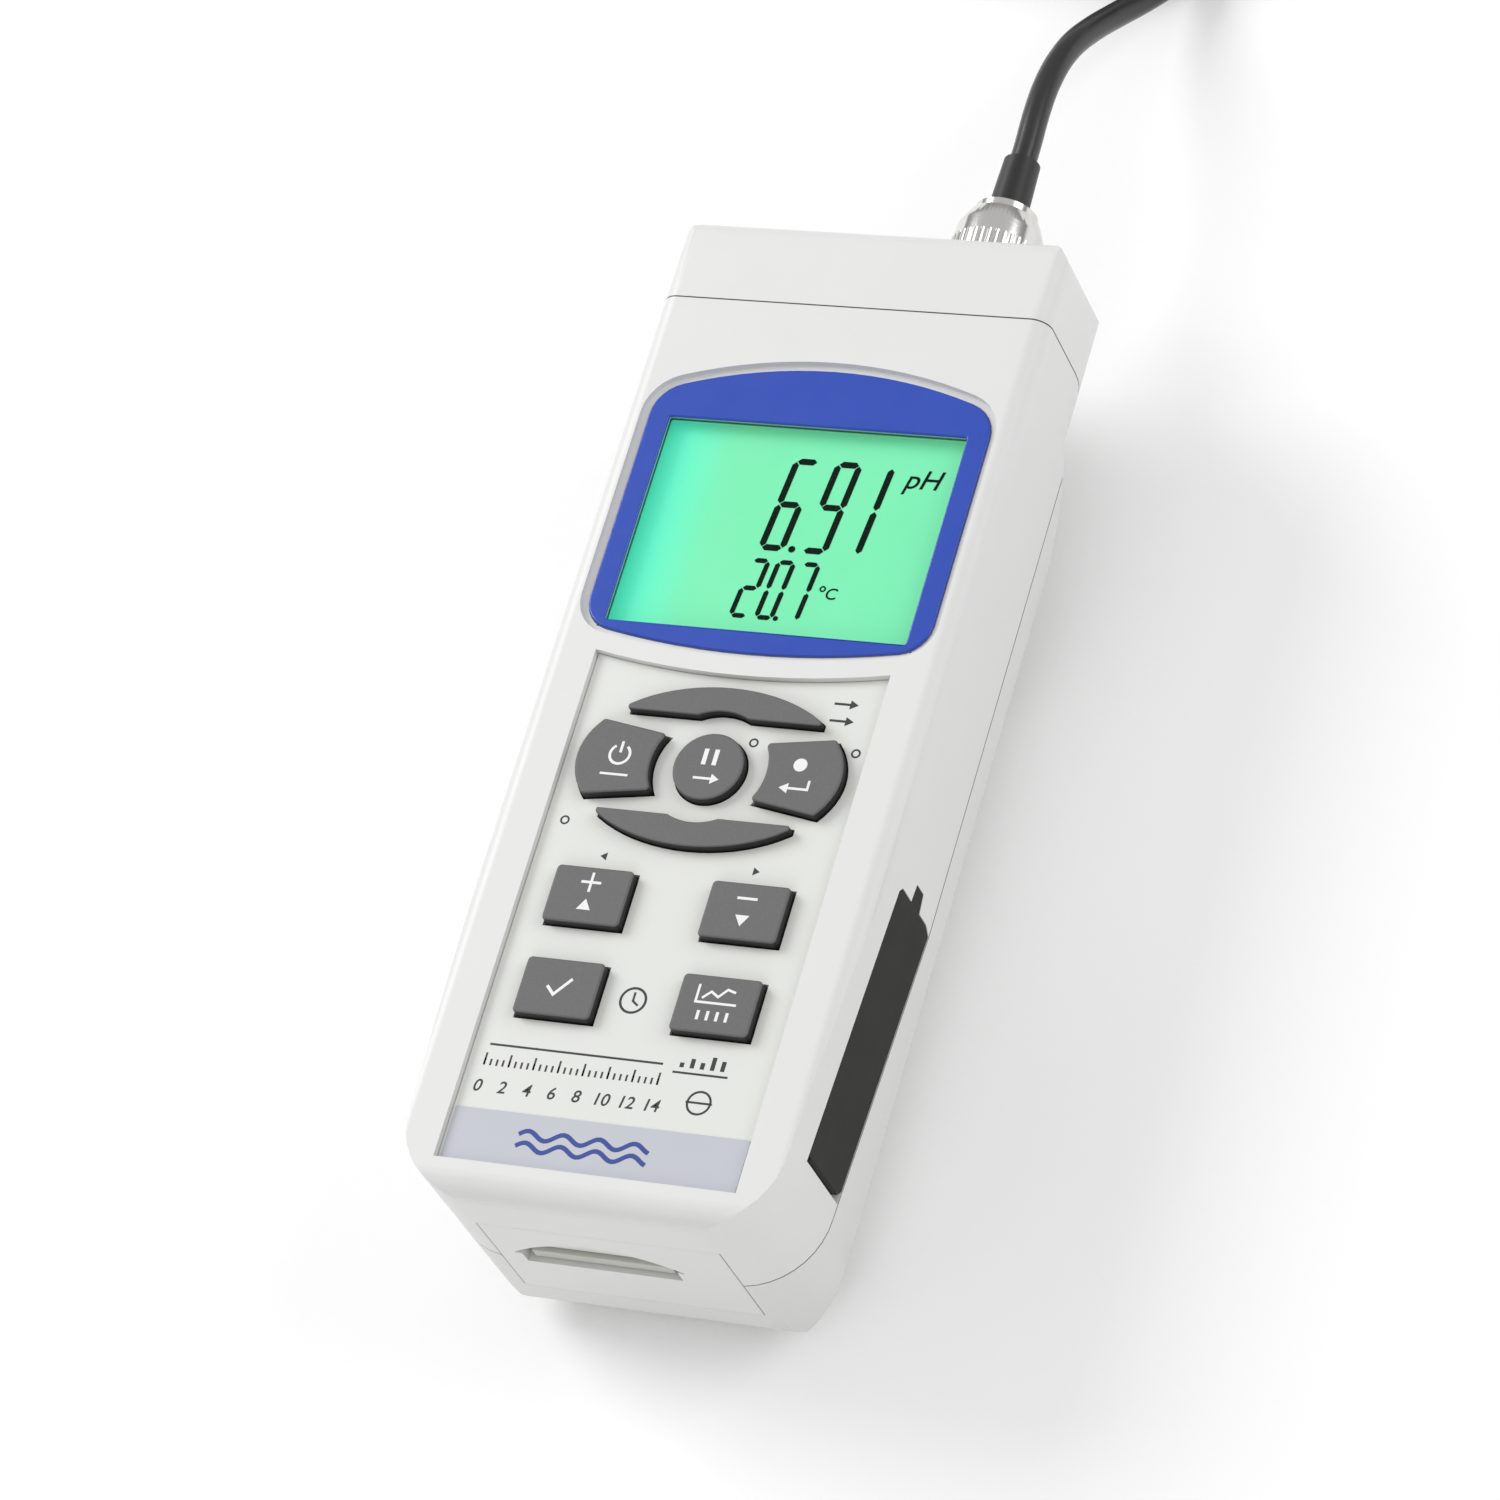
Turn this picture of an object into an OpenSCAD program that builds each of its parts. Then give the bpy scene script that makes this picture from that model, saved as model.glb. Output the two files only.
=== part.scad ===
// Handheld pH meter with a memory-card logger, lying on its back, with its electrode lead.
// X is the width, Y runs from the card end to the socket end, Z comes out of the keypad face.
// All sizes are in millimetres.

/* [Case] */
// Width of the case
case_w = 68; // [66:1:84]
// Length of the case, from the card end to the socket end
case_l = 177; // [175:1:216]
// Depth of the case over the battery bay
case_d = 45; // [44:1:56]
// Depth of the head, above the battery bay
head_d = 33; // [32:1:36]
// Wall of the shells
wall = 2.2; // [1.6:0.1:2.4]
// Height of the joint between the shells above the rear face
split_h = 22.5; // [22:0.5:23]
// Length of the socket cap
cap_l = 15.3; // [13:0.1:17]
// Distance from the card end to the foot of the rear shoulder
shoulder_from_end = 108.5; // [108:0.5:112]
// Distance from the card end to where the sides start to narrow
taper_from_end = 62; // [40:1:80]
// How much each side narrows at the card end
taper_x = 2.2; // [0:0.1:3]

/* [Display] */
// Width of the display window
lcd_w = 52; // [44:1:53]
// Height of the display window
lcd_h = 38; // [30:1:39]
// Distance from the card end to the middle of the display
lcd_from_end = 120.5; // [119:0.5:122]
// Width of the blue surround
bezel_w = 59.4; // [58:0.2:60.6]
// Reach of the surround above the middle of the display
bezel_up = 29.4; // [26:0.2:31]
// Reach of the surround below the middle of the display
bezel_down = 23; // [22:0.2:23.4]

/* [Keypad] */
// Width of the keypad recess
panel_w = 50.8; // [48:0.2:52]
// Depth of the keypad recess
panel_sunk = 1.5; // [1:0.1:1.8]
// Height of a key above its plate
key_rise = 1.8; // [1.2:0.1:2.4]
// Travel of a key
key_travel = 0.8; // [0.4:0.1:0.9]
// Width of a rectangular key
key_w = 13.2; // [10:0.1:15]
// Height of a rectangular key
key_h = 9.8; // [8:0.1:11]
// Half width of the oval key cluster
ring_a = 22.7; // [20:0.1:23.2]
// Half height of the oval key cluster
ring_b = 14.1; // [13.6:0.1:15]
// Radius of the round middle key
hub_r = 5.9; // [5:0.1:6.4]
// Gap around a key
key_gap = 0.25; // [0.15:0.05:0.3]

/* [Power] */
// Diameter of a battery cell
cell_dia = 14.5; // [13.5:0.1:14.5]
// Length of a battery cell
cell_l = 50.5; // [49:0.1:50.5]
// Width of the battery door
door_w = 46; // [44:0.5:47]
// Length of the kickstand
stand_l = 62; // [50:1:66]
// Width of the kickstand
stand_w = 22; // [18:1:22]

/* [Sockets] */
// Reach of the electrode socket past the case
sock_out = 11; // [10.5:0.1:12]
// Distance of the electrode socket from the middle
sock_x = 13.4; // [12:0.1:16]
// Bore of the temperature and data sockets
jack_bore = 3.6; // [3.5:0.1:3.8]
// Bore of the power socket
dc_bore = 6.4; // [5.6:0.1:6.6]
// Bore of the tripod insert
tripod_bore = 6.35; // [6:0.05:6.5]

/* [Electrode] */
// Diameter of the electrode lead
lead_dia = 4.5; // [4.3:0.1:4.6]
// Diameter of the electrode tube
probe_dia = 12; // [10:0.5:13]
// Length of the electrode tube
probe_l = 92; // [80:1:94]

/* [Hidden] */
$fn = 64;
eps = 0.01;
far = 400;
y_bot = -(case_l + sock_out) / 2;
y_top = y_bot + case_l;
cap_y = y_top - cap_l;
half_w = case_w / 2;

// Case outline
edge_r = 3;
end_r_low = 13;
end_r_top = 5;
rear_r = 22.5;
head_side_r = 17.5;
foot_r = 9;
toe_r = 4;
brow_r = 3;
crown_r = 8;
shoulder_run = 20;
head_z = case_d - head_d;
shoulder_y = y_bot + shoulder_from_end;
shoulder_rate = shoulder_run / head_z;
shoulder_sin = head_z / sqrt(head_z * head_z + shoulder_run * shoulder_run);
taper_y = y_bot + taper_from_end;
taper_rate = taper_x / (taper_from_end - end_r_low);
seam = 0.05;
post_r = 3.6;
post_x = half_w - 6.4;
post_y = [y_bot + 14, cap_y - 8];
screw_r = 1.2;
screw_head_r = 2.4;
screw_head_t = 1.4;
pilot_gap = 0.05;

// Display stack, heights measured up from the rear face
lcd_y = y_bot + lcd_from_end;
bezel_z = case_d - 0.6;
bezel_t = 1.6;
bezel_ledge = bezel_z - bezel_t;
ledge_t = 1.2;
ledge_rim = 2;
bezel_ring = 1.2;
bezel_ring_z = case_d - 1.1;
bezel_fit = 0.1;
bezel_arc_up = 79;
bezel_arc_down = 136;
bezel_r_up = 6.5;
bezel_r_down = 5.5;
pane_t = 1;
pane_lap = 1;
glass_t = 1.9;
light_t = 3;
layer_gap = 0.1;
pane_z = bezel_ledge - pane_t;
glass_z = pane_z - layer_gap - glass_t;
light_z = glass_z - light_t;
holder_wall = 1.6;
holder_w = lcd_w + 2 * pane_lap + 2 * holder_wall + 0.4;
holder_h = lcd_h + 2 * pane_lap + 2 * holder_wall + 0.4;

// Keypad
panel_up = 25;
panel_down = 114.8;
strip_up = 105.6;
panel_z = case_d - panel_sunk;
plate_t = 0.3;
plate_gap = 0.15;
strip_t = 0.15;
strip_inset = 0.6;
key_top = panel_z + plate_t + key_rise;
lip_t = 0.8;
lip_w = 0.8;
pad_t = 2.2;
pad_rim = 2;
lip_z = panel_z - pad_t - lip_t;
mat_t = 1.4;
mat_z = lip_z - key_travel - 0.1 - mat_t;
mat_inset = 2;
hub_y = lcd_y - 44.1;
hub_gap_r = 9.9;
arc_flat = 8.9;
side_in = 6.8;
side_rise = 6.9;
side_fall = 0.16;
row_1 = lcd_y - 68.4;
row_2 = lcd_y - 84.6;
col_x = 13.3;
board_t = 1.6;
key_board_z = mat_z - board_t;

// Boards
main_z = 25.4;
main_in = 11.5;
main_half = half_w - main_in;
main_y0 = y_bot + 3.4;
main_y1 = cap_y - 2;
key_board_y0 = lcd_y - panel_down;
key_board_y1 = lcd_y - panel_up - 4;
spacer_r = 2.4;

// Memory card
card_w = 24;
card_l = 32;
card_t = 2.1;
card_x = -3;
card_z = 22.2;
card_in = 0.8;
card_play = 0.15;
card_wall = 0.5;
plate_end_half = 20.5;
plate_end_low = 12;
plate_end_high = 34;
slot_w = 26.5;
slot_t = 2.9;
notch_w = 29;
notch_rise = 5;
notch_depth = 1.6;

// Cells, door and stand
bay_wall = 1.2;
bay_half = 22.7;
bay_y0 = y_bot + 5;
bay_y1 = y_bot + 108.1;
bay_roof = 19.5;
cell_z = 12;
cell_r = cell_dia / 2;
cell_pitch = cell_dia + 0.25;
cell_step = cell_l + 0.5;
cell_y = (bay_y0 + bay_y1) / 2;
tab_t = 0.4;
door_y0 = y_bot + 4.2;
door_y1 = y_bot + 116.5;
door_gap = 0.2;
door_screw_x = 17;
door_screw_y = y_bot + 112.6;
boss_r = 2.7;
boss_z = 7;
stand_t = 2.1;
stand_lift = 0.15;
stand_gap = 0.3;
stand_eye_r = 1.15;
stand_pin_r = 0.8;
stand_pin_z = 1.3;
stand_y = y_bot + 98;
stand_floor = 2.55;
stand_pad = 1.3;
nail_l = 5;
pin_fit = 0.04;

// Side flap and what it covers
flap_up = 57.6;
flap_down = 105;
flap_high = 37.7;
flap_low = 22.8;
flap_t = 1.2;
flap_gap = 0.15;
flap_floor_gap = 0.1;
hinge_room = 0.4;
flap_cut = 2;
tab_l = 3.2;
tab_high = 32.4;
tab_low = 28.4;
jack_z = 30.6;
serial_y = lcd_y - 65;
reset_y = lcd_y - 79;
dc_y = lcd_y - 92;
nose_gap = 0.3;
nose_r = 3.4;
jack_l = 13;
reset_r = 1.3;
reset_gap = 0.08;
reset_travel = 0.6;

// Electrode socket and plug, distances out from the socket end
sock_z = case_d - 17.5;
sock_r = 4.85;
sock_bore_r = 4.15;
flange_r = 7.6;
flange_t = 1.2;
stud_r = 1;
stud_y = 5.4;
stud_reach = 5.5;
thread_in = 9;
nut_r = 6.8;
nut_t = 2.4;
contact_r = 1.3;
contact_bore_r = 0.75;
pin_r = 0.68;
sleeve_r = 4.05;
sleeve_wall = 0.5;
collar_r = 7.3;
collar_bore_r = 5.8;
collar_y0 = 1.9;
collar_y1 = 13.6;
collar_web = 1.4;
collar_slope_l = 3;
collar_end_r = 6;
plug_flange_gap = 0.2;
plug_flange_t = 0.8;
neck_r = 4.4;
neck_fit = 0.06;
heel_r = 5.3;
heel_y1 = 15;
boot_y1 = 25;
boot_r0 = 3.4;
boot_r1 = 3.1;
temp_x = -13;
temp_nose_r = 3;
tripod_r = 5;
tripod_l = 8;
tripod_y = y_bot + 143;

// Lead: straight out of the boot, down to the floor, and into the coil
lead_r = lead_dia / 2;
lead_sides = 10;
coil_x = 0;
coil_y = 198;
coil_in_r = 17.4;
coil_out_r = 33.8;
coil_low = 0.6;
coil_high = 9.8;
coil_edge_r = 2;
tie_t = 0.5;
tie_w = 6;
tie_gap = 0.4;
run_points = [
  [13.4, 108, 27.5], [13.4, 112, 27.5], [13.2, 118, 27.4], [13.1, 124, 26.7], [13.2, 130, 25],
  [13.5, 136, 22], [14.2, 142, 17.8], [15.4, 148, 13.2], [17.4, 154, 9], [20, 160, 5.8], [23, 166, 3.8],
  [26, 172, 3], [28.6, 178, 2.9], [30.4, 184, 2.9]
];
tail_points = [
  [16, 167.8, 7.4], [22, 169.4, 7.9], [28, 172, 8.2], [33.4, 175.8, 7.4], [37.8, 180.6, 6],
  [40.8, 186, 5.4], [42.5, 191.6, 6.2], [43.2, 197, 7.4], [43.4, 202, 8]
];

// Electrode, lying beside the coil with its tip towards +Y
probe_x = 43.4;
probe_y = 202;
probe_z = 8;
relief_l = 10;
relief_r0 = 2.9;
relief_r1 = 4.6;
grip_l = 28;
grip_r = 8;
probe_r = probe_dia / 2;
bulb_r = 3.6;
bulb_l = 9;
bottle_lap = 14;
bottle_l = 32;
bottle_r = 7.8;
bottle_wall = 0.8;
bottle_fit = 0.06;

// ---------- shapes shared by the pieces ----------

module corner_cut(r) {
  difference() {
    translate([-1, -1]) square(r + 1);
    translate([r, r]) circle(r);
  }
}

// Rectangle with its own radius at each corner: low left, low right, high right, high left
module plate_2d(x0, y0, x1, y1, r) {
  difference() {
    translate([x0, y0]) square([x1 - x0, y1 - y0]);
    translate([x0, y0]) corner_cut(r[0]);
    translate([x1, y0]) rotate(90) corner_cut(r[1]);
    translate([x1, y1]) rotate(180) corner_cut(r[2]);
    translate([x0, y1]) rotate(270) corner_cut(r[3]);
  }
}

function arc(cx, cy, r, a0, a1, n) = [
  for (k = [0:n]) [cx + r * cos(a0 + (a1 - a0) * k / n), cy + r * sin(a0 + (a1 - a0) * k / n)]
];

function flip(points) = [for (k = [len(points) - 1:-1:0]) [-points[k][0], points[k][1]]];

// Half width of the case at y
function side_x(y) = half_w - taper_rate * max(0, taper_y - y);

// Plan of the case, drawn in by i
function plan_right(i) = concat(
  arc(side_x(y_bot + end_r_low) - end_r_low, y_bot + end_r_low, end_r_low - i, -90, 0, 10),
  [[half_w - i, taper_y]],
  arc(half_w - end_r_top, y_top - end_r_top, end_r_top - i, 0, 90, 6)
);

module plan_2d(i) polygon(concat(plan_right(i), flip(plan_right(i))));

// Extrudes a drawing of X and Z along Y, from y0 to y1
module along_y(y0, y1) translate([0, y1, 0]) rotate([90, 0, 0]) linear_extrude(y1 - y0) children();

// Extrudes a drawing of Y and Z along X, from x0 to x1
module along_x(x0, x1) {
  translate([x0, 0, 0]) rotate([90, 0, 90]) linear_extrude(x1 - x0) children();
}

// Turns a shape built along Z to point along +Y or +X
module face_y() rotate([-90, 0, 0]) children();
module face_x() rotate([0, 90, 0]) children();

module lower_body(i) intersection() {
  along_y(y_bot - 1, y_top + 1) plate_2d(
    -half_w + i, i, half_w - i, case_d - i, [rear_r - i, rear_r - i, edge_r - i, edge_r - i]);
  along_x(-far, far) plate_2d(
    y_bot + i, i, y_top - i, case_d - i, [foot_r - i, 0.2, brow_r - i, toe_r - i]);
  along_x(-far, far) polygon([
    [y_bot - 1, -1],
    [shoulder_y - i / shoulder_sin - shoulder_rate, -1],
    [shoulder_y - i / shoulder_sin + shoulder_rate * (case_d + 1), case_d + 1],
    [y_bot - 1, case_d + 1]
  ]);
}

module head_body(i) intersection() {
  along_y(y_bot - 1, y_top + 1) plate_2d(
    -half_w + i, head_z + i, half_w - i, case_d - i,
    [head_side_r - i, head_side_r - i, edge_r - i, edge_r - i]);
  along_x(-far, far) plate_2d(
    y_bot + i, head_z + i, y_top - i, case_d - i, [0.2, crown_r - i, brow_r - i, toe_r - i]);
}

// The whole case as one solid, drawn in by i on every side
module case_solid(i) intersection() {
  translate([0, 0, -1]) linear_extrude(case_d + 2) plan_2d(i);
  union() {
    lower_body(i);
    head_body(i);
  }
}

// The skin of the case, from depth i to depth j
module skin(i, j) difference() {
  case_solid(i);
  case_solid(j);
}

module block(x0, y0, z0, x1, y1, z1) translate([x0, y0, z0]) cube([x1 - x0, y1 - y0, z1 - z0]);

// Surround outline, grown by g
function surround_right(g) =
  let (
    x = bezel_w / 2,
    up = lcd_y + bezel_up - bezel_arc_up,
    down = lcd_y - bezel_down + bezel_arc_down,
    ux = x - bezel_r_up,
    dx = x - bezel_r_down,
    uy = up + sqrt(pow(bezel_arc_up - bezel_r_up, 2) - ux * ux),
    dy = down - sqrt(pow(bezel_arc_down - bezel_r_down, 2) - dx * dx),
    ua = atan2(uy - up, ux),
    da = -atan2(down - dy, dx)
  )
  concat(
    arc(0, down, bezel_arc_down + g, -90, da, 6),
    arc(dx, dy, bezel_r_down + g, da, 0, 6),
    arc(ux, uy, bezel_r_up + g, 0, ua, 6),
    arc(0, up, bezel_arc_up + g, ua, 90, 8)
  );

module surround_2d(g) polygon(concat(surround_right(g), flip(surround_right(g))));

// Keypad recess outline, its upper edge follows the surround
panel_arc = bezel_arc_down + 2;
panel_dip = panel_arc - sqrt(panel_arc * panel_arc - pow(panel_w / 2, 2));

module panel_2d(g) {
  x = panel_w / 2 + g;
  y0 = lcd_y - panel_down - g;
  y1 = lcd_y - panel_up + g;
  half_a = asin(x / panel_arc);
  polygon(concat(
    [[-x, y0], [x, y0]],
    arc(0, y1 + sqrt(panel_arc * panel_arc - x * x), panel_arc, -90 + half_a, -90 - half_a, 12)
  ));
}

module oval_2d(g) polygon([for (a = [0:5:355]) [(ring_a + g) * cos(a), (ring_b + g) * sin(a)]]);

// Upper key of the oval cluster, about the cluster's middle
module arc_key_2d(g) difference() {
  intersection() {
    oval_2d(g);
    translate([-ring_a, arc_flat - g]) square([2 * ring_a, ring_b]);
    square([33 + 2 * g, 4 * ring_b], center = true);
  }
  circle(hub_gap_r - g);
}

// Right-hand key of the oval cluster, about the cluster's middle
module side_key_2d(g) difference() {
  intersection() {
    oval_2d(g);
    polygon([
      [side_in, -side_rise + 2.1 - g], [side_in, side_rise - 2.1 + g],
      [ring_a + 1, side_rise + 0.45 + g], [ring_a + 1, -side_rise - 0.45 - g]
    ]);
  }
  circle(hub_gap_r - g);
}

module box_key_2d(g) square([key_w + 2 * g, key_h + 2 * g], center = true);

module hub_key_2d(g) circle(hub_r + g);

// Places a key outline: 0 power, 1 hold, 2 record, 3 and 4 the arcs, 5 to 8 the square keys
module key_2d(k, g) {
  if (k == 0) translate([0, hub_y]) mirror([1, 0]) side_key_2d(g);
  if (k == 1) translate([0, hub_y]) hub_key_2d(g);
  if (k == 2) translate([0, hub_y]) side_key_2d(g);
  if (k == 3) translate([0, hub_y]) arc_key_2d(g);
  if (k == 4) translate([0, hub_y]) mirror([0, 1]) arc_key_2d(g);
  if (k == 5) translate([-col_x, row_1]) box_key_2d(g);
  if (k == 6) translate([col_x, row_1]) box_key_2d(g);
  if (k == 7) translate([-col_x, row_2]) box_key_2d(g);
  if (k == 8) translate([col_x, row_2]) box_key_2d(g);
}

// A key: the cap that shows, and the lip that holds it under the face
module one_key(k) {
  color("dimgray") {
    translate([0, 0, lip_z + lip_t - eps]) linear_extrude(key_top - lip_z - lip_t + eps) key_2d(k, 0);
    translate([0, 0, lip_z]) linear_extrude(lip_t) key_2d(k, lip_w);
  }
}

// Side flap outline in Y and Z, grown by g, with its pull tab
module flap_2d(g) {
  y0 = lcd_y - flap_down - g;
  y1 = lcd_y - flap_up + g;
  z0 = flap_low - g;
  z1 = flap_high + g;
  polygon([
    [y0, z0 + flap_cut], [y0 + flap_cut, z0], [y1 - flap_cut / 2, z0], [y1, z0 + flap_cut],
    [y1, tab_low - g], [y1 + tab_l, tab_low + 0.6 - g], [y1 + tab_l, tab_high - 0.4 + g],
    [y1, tab_high + g], [y1, z1 - flap_cut / 2], [y1 - flap_cut / 2, z1],
    [y0 + flap_cut / 2, z1], [y0, z1 - flap_cut / 2]
  ]);
}

module flap_zone() intersection() {
  skin(0, flap_t);
  along_x(half_w / 2, half_w + 1) flap_2d(0);
}

// The flap's recess, square at the hinge end so that the trimmed corners clear it as they turn
module flap_recess() intersection() {
  skin(0, flap_t + flap_floor_gap);
  along_x(half_w / 2, half_w + 1) {
    flap_2d(flap_gap);
    translate([lcd_y - flap_down - flap_gap, flap_low - flap_gap])
      square([flap_cut + flap_gap, flap_high - flap_low + 2 * flap_gap]);
  }
}

module door_zone(g) {
  block(-door_w / 2 - g, door_y0 - g, -1, door_w / 2 + g, door_y1 + g, split_h - 6);
}

module end_zone(g) {
  block(-plate_end_half - g, y_bot - 1, plate_end_low - g, plate_end_half + g, y_bot + wall + 0.5,
    plate_end_high + g);
}

module posts(z0, z1, r) {
  for (x = [-post_x, post_x]) {
    for (y = post_y) translate([x, y, z0]) cylinder(h = z1 - z0, r = r);
  }
}

// ---------- case ----------

module front_shell() color("gainsboro") difference() {
  union() {
    intersection() {
      skin(0, wall);
      block(-far, y_bot - 1, split_h + seam, far, cap_y - seam, case_d + 1);
    }
    intersection() {
      case_solid(wall - eps);
      union() {
        translate([0, 0, panel_z - pad_t]) linear_extrude(case_d - wall - panel_z + pad_t + eps)
          panel_2d(pad_rim);
        translate([0, 0, bezel_ledge - ledge_t]) linear_extrude(ledge_t + 1) surround_2d(ledge_rim);
        posts(split_h + seam, case_d - wall + eps, post_r);
      }
    }
  }
  translate([0, 0, bezel_ring_z]) linear_extrude(2) surround_2d(bezel_ring);
  translate([0, 0, bezel_ledge]) linear_extrude(3) surround_2d(bezel_fit);
  block(-holder_w / 2 + holder_wall, lcd_y - holder_h / 2 + holder_wall, bezel_ledge - 2,
    holder_w / 2 - holder_wall, lcd_y + holder_h / 2 - holder_wall, case_d);
  translate([0, 0, panel_z]) linear_extrude(3) panel_2d(0);
  for (k = [0:8]) translate([0, 0, lip_z - 1]) linear_extrude(6) key_2d(k, key_gap);
  flap_recess();
  end_zone(seam);
  side_holes();
  posts(split_h - 1, case_d - wall - 3, screw_r + pilot_gap);
}

module side_holes() {
  for (y = [serial_y, dc_y]) {
    translate([half_w / 2, y, jack_z]) face_x() cylinder(h = half_w, r = nose_r + 0.2);
  }
  translate([half_w / 2, reset_y, jack_z]) face_x() cylinder(h = half_w, r = reset_r + reset_gap);
}

module rear_shell() color("gainsboro") difference() {
  union() {
    intersection() {
      skin(0, wall);
      block(-far, y_bot - 1, -1, far, cap_y - seam, split_h - seam);
    }
    intersection() {
      case_solid(wall - eps);
      union() {
        difference() {
          block(-bay_half - bay_wall, bay_y0 - bay_wall, 3, bay_half + bay_wall,
            bay_y1 + bay_wall, bay_roof + bay_wall);
          block(-bay_half, bay_y0, 0, bay_half, bay_y1, bay_roof);
        }
        posts(0, split_h - seam, post_r);
        for (x = [-door_screw_x, door_screw_x]) {
          translate([x, door_screw_y, boss_z]) cylinder(h = bay_roof + bay_wall - boss_z, r = boss_r);
          block(x - boss_r / 2, bay_y1 + bay_wall / 2, boss_z, x + boss_r / 2, door_screw_y,
            bay_roof + bay_wall);
        }
        translate([0, tripod_y, head_z]) cylinder(h = tripod_l + 1, r = tripod_r + 2);
      }
    }
  }
  door_zone_skin(door_gap);
  flap_recess();
  end_zone(seam);
  posts(-1, split_h + 1, screw_r + 0.2);
  for (x = [-post_x, post_x]) {
    for (y = post_y) translate([x, y, -1]) cylinder(h = screw_seat(y) + 1, r = screw_head_r + 0.2);
  }
  for (x = [-door_screw_x, door_screw_x]) {
    translate([x, door_screw_y, 6]) cylinder(h = 10, r = screw_r + pilot_gap);
  }
  translate([0, tripod_y, head_z - 1]) cylinder(h = tripod_l + 1, r = tripod_r);
}

// Height of the seat for a case screw's head at y
function screw_seat(y) = y < shoulder_y ? 11 : head_z + 8;

// What the door takes out of the skin: its own outline and the pocket behind the stand
module door_zone_skin(g) intersection() {
  difference() {
    door_zone(g);
    case_solid(wall + 0.3);
  }
  block(-far, y_bot + 1, -1, far, y_top, split_h);
}

module socket_cap() color("gainsboro") difference() {
  intersection() {
    skin(0, wall);
    block(-far, cap_y + seam, 0, far, y_top + 1, case_d + 1);
  }
  translate([sock_x, y_top - far / 2, sock_z]) face_y() cylinder(h = far, r = sock_r + 0.05);
  translate([temp_x, y_top - far / 2, sock_z]) face_y() cylinder(h = far, r = temp_nose_r + 0.05);
}

// Lower edge of the card slot
slot_low = card_z + card_t / 2 - slot_t / 2;

module card_end_plate() color("gainsboro") difference() {
  intersection() {
    skin(0, wall);
    end_zone(0);
  }
  block(card_x - slot_w / 2, y_bot - 1, slot_low, card_x + slot_w / 2, y_bot + 4, slot_low + slot_t);
  along_y(y_bot - 1, y_bot + notch_depth) notch_2d();
}

// Finger notch: a low arch standing on the slot
module notch_2d() {
  r = (notch_w * notch_w / 4 + notch_rise * notch_rise) / (2 * notch_rise);
  intersection() {
    translate([card_x, slot_low + slot_t + notch_rise - r]) circle(r);
    translate([card_x - notch_w / 2, slot_low + slot_t - 0.2]) square([notch_w, notch_rise + 1]);
  }
}

module case_screws() color("silver") {
  for (x = [-post_x, post_x]) {
    for (y = post_y) translate([x, y, screw_seat(y)]) {
      translate([0, 0, -screw_head_t]) cylinder(h = screw_head_t, r = screw_head_r);
      cylinder(h = split_h + 9 - screw_seat(y), r = screw_r);
    }
  }
}

// ---------- display ----------

module display_surround() color("royalblue") difference() {
  translate([0, 0, bezel_ledge]) linear_extrude(bezel_t) surround_2d(0);
  block(-lcd_w / 2, lcd_y - lcd_h / 2, bezel_ledge - 1, lcd_w / 2, lcd_y + lcd_h / 2, case_d + 1);
}

module display_sheet(lap, z, t) {
  w = lcd_w / 2 + lap;
  h = lcd_h / 2 + lap;
  block(-w, lcd_y - h, z, w, lcd_y + h, z + t);
}

module display_pane() color("azure", 0.4) display_sheet(pane_lap, pane_z, pane_t);

module display_glass() color("aquamarine") display_sheet(pane_lap, glass_z, glass_t);

module display_light() color("white") display_sheet(pane_lap, light_z, light_t);

module display_holder() color("white") difference() {
  block(-holder_w / 2, lcd_y - holder_h / 2, main_z + board_t, holder_w / 2, lcd_y + holder_h / 2,
    bezel_ledge - ledge_t);
  display_sheet(pane_lap + 0.2, light_z, case_d);
  display_sheet(pane_lap - 1, main_z, case_d);
}

// ---------- keypad ----------

module keypad_plate() color("whitesmoke") difference() {
  translate([0, 0, panel_z]) linear_extrude(plate_t) panel_2d(-plate_gap);
  for (k = [0:8]) translate([0, 0, panel_z - 1]) linear_extrude(3) key_2d(k, key_gap);
}

module label_strip() color("lightsteelblue") {
  x = panel_w / 2 - strip_inset;
  block(-x, lcd_y - panel_down + 0.3, panel_z + plate_t, x, lcd_y - strip_up,
    panel_z + plate_t + strip_t);
}

module key_mat() color("dimgray") {
  x = panel_w / 2 - mat_inset;
  y0 = row_2 - key_h;
  block(-x, y0, mat_z, x, lcd_y - panel_up - 3, mat_z + mat_t);
}

module key_power() one_key(0);
module key_hold() one_key(1);
module key_record() one_key(2);
module key_arc_upper() one_key(3);
module key_arc_lower() one_key(4);
module key_up() one_key(5);
module key_down() one_key(6);
module key_set() one_key(7);
module key_logger() one_key(8);

module key_board() color("darkgreen") {
  x = panel_w / 2 - mat_inset;
  block(-x, key_board_y0, key_board_z, x, key_board_y1, key_board_z + board_t);
}

// ---------- boards and sockets ----------

module main_board() color("darkgreen") {
  block(-main_half, main_y0, main_z, main_half, main_y1, main_z + board_t);
}

module board_parts() color("black") {
  top = main_z + board_t;
  block(-10, row_1 - 8, top, 4, row_1 + 6, top + 2);
  block(-18, hub_y - 5, top, -8, hub_y + 5, top + 1.6);
  block(2, hub_y - 4, top, 12, hub_y + 2, top + 1.6);
  block(-16, tripod_y - 4, main_z - 4, -6, tripod_y + 4, main_z);
  translate([-14, row_2, top]) cylinder(h = 7, r = 3);
}

module board_spacers() color("silver") {
  for (x = [-16, 16]) {
    for (y = [key_board_y0 + 8, key_board_y1 - 3]) {
      translate([x, y, main_z + board_t]) cylinder(h = key_board_z - main_z - board_t, r = spacer_r);
    }
  }
}

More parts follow.
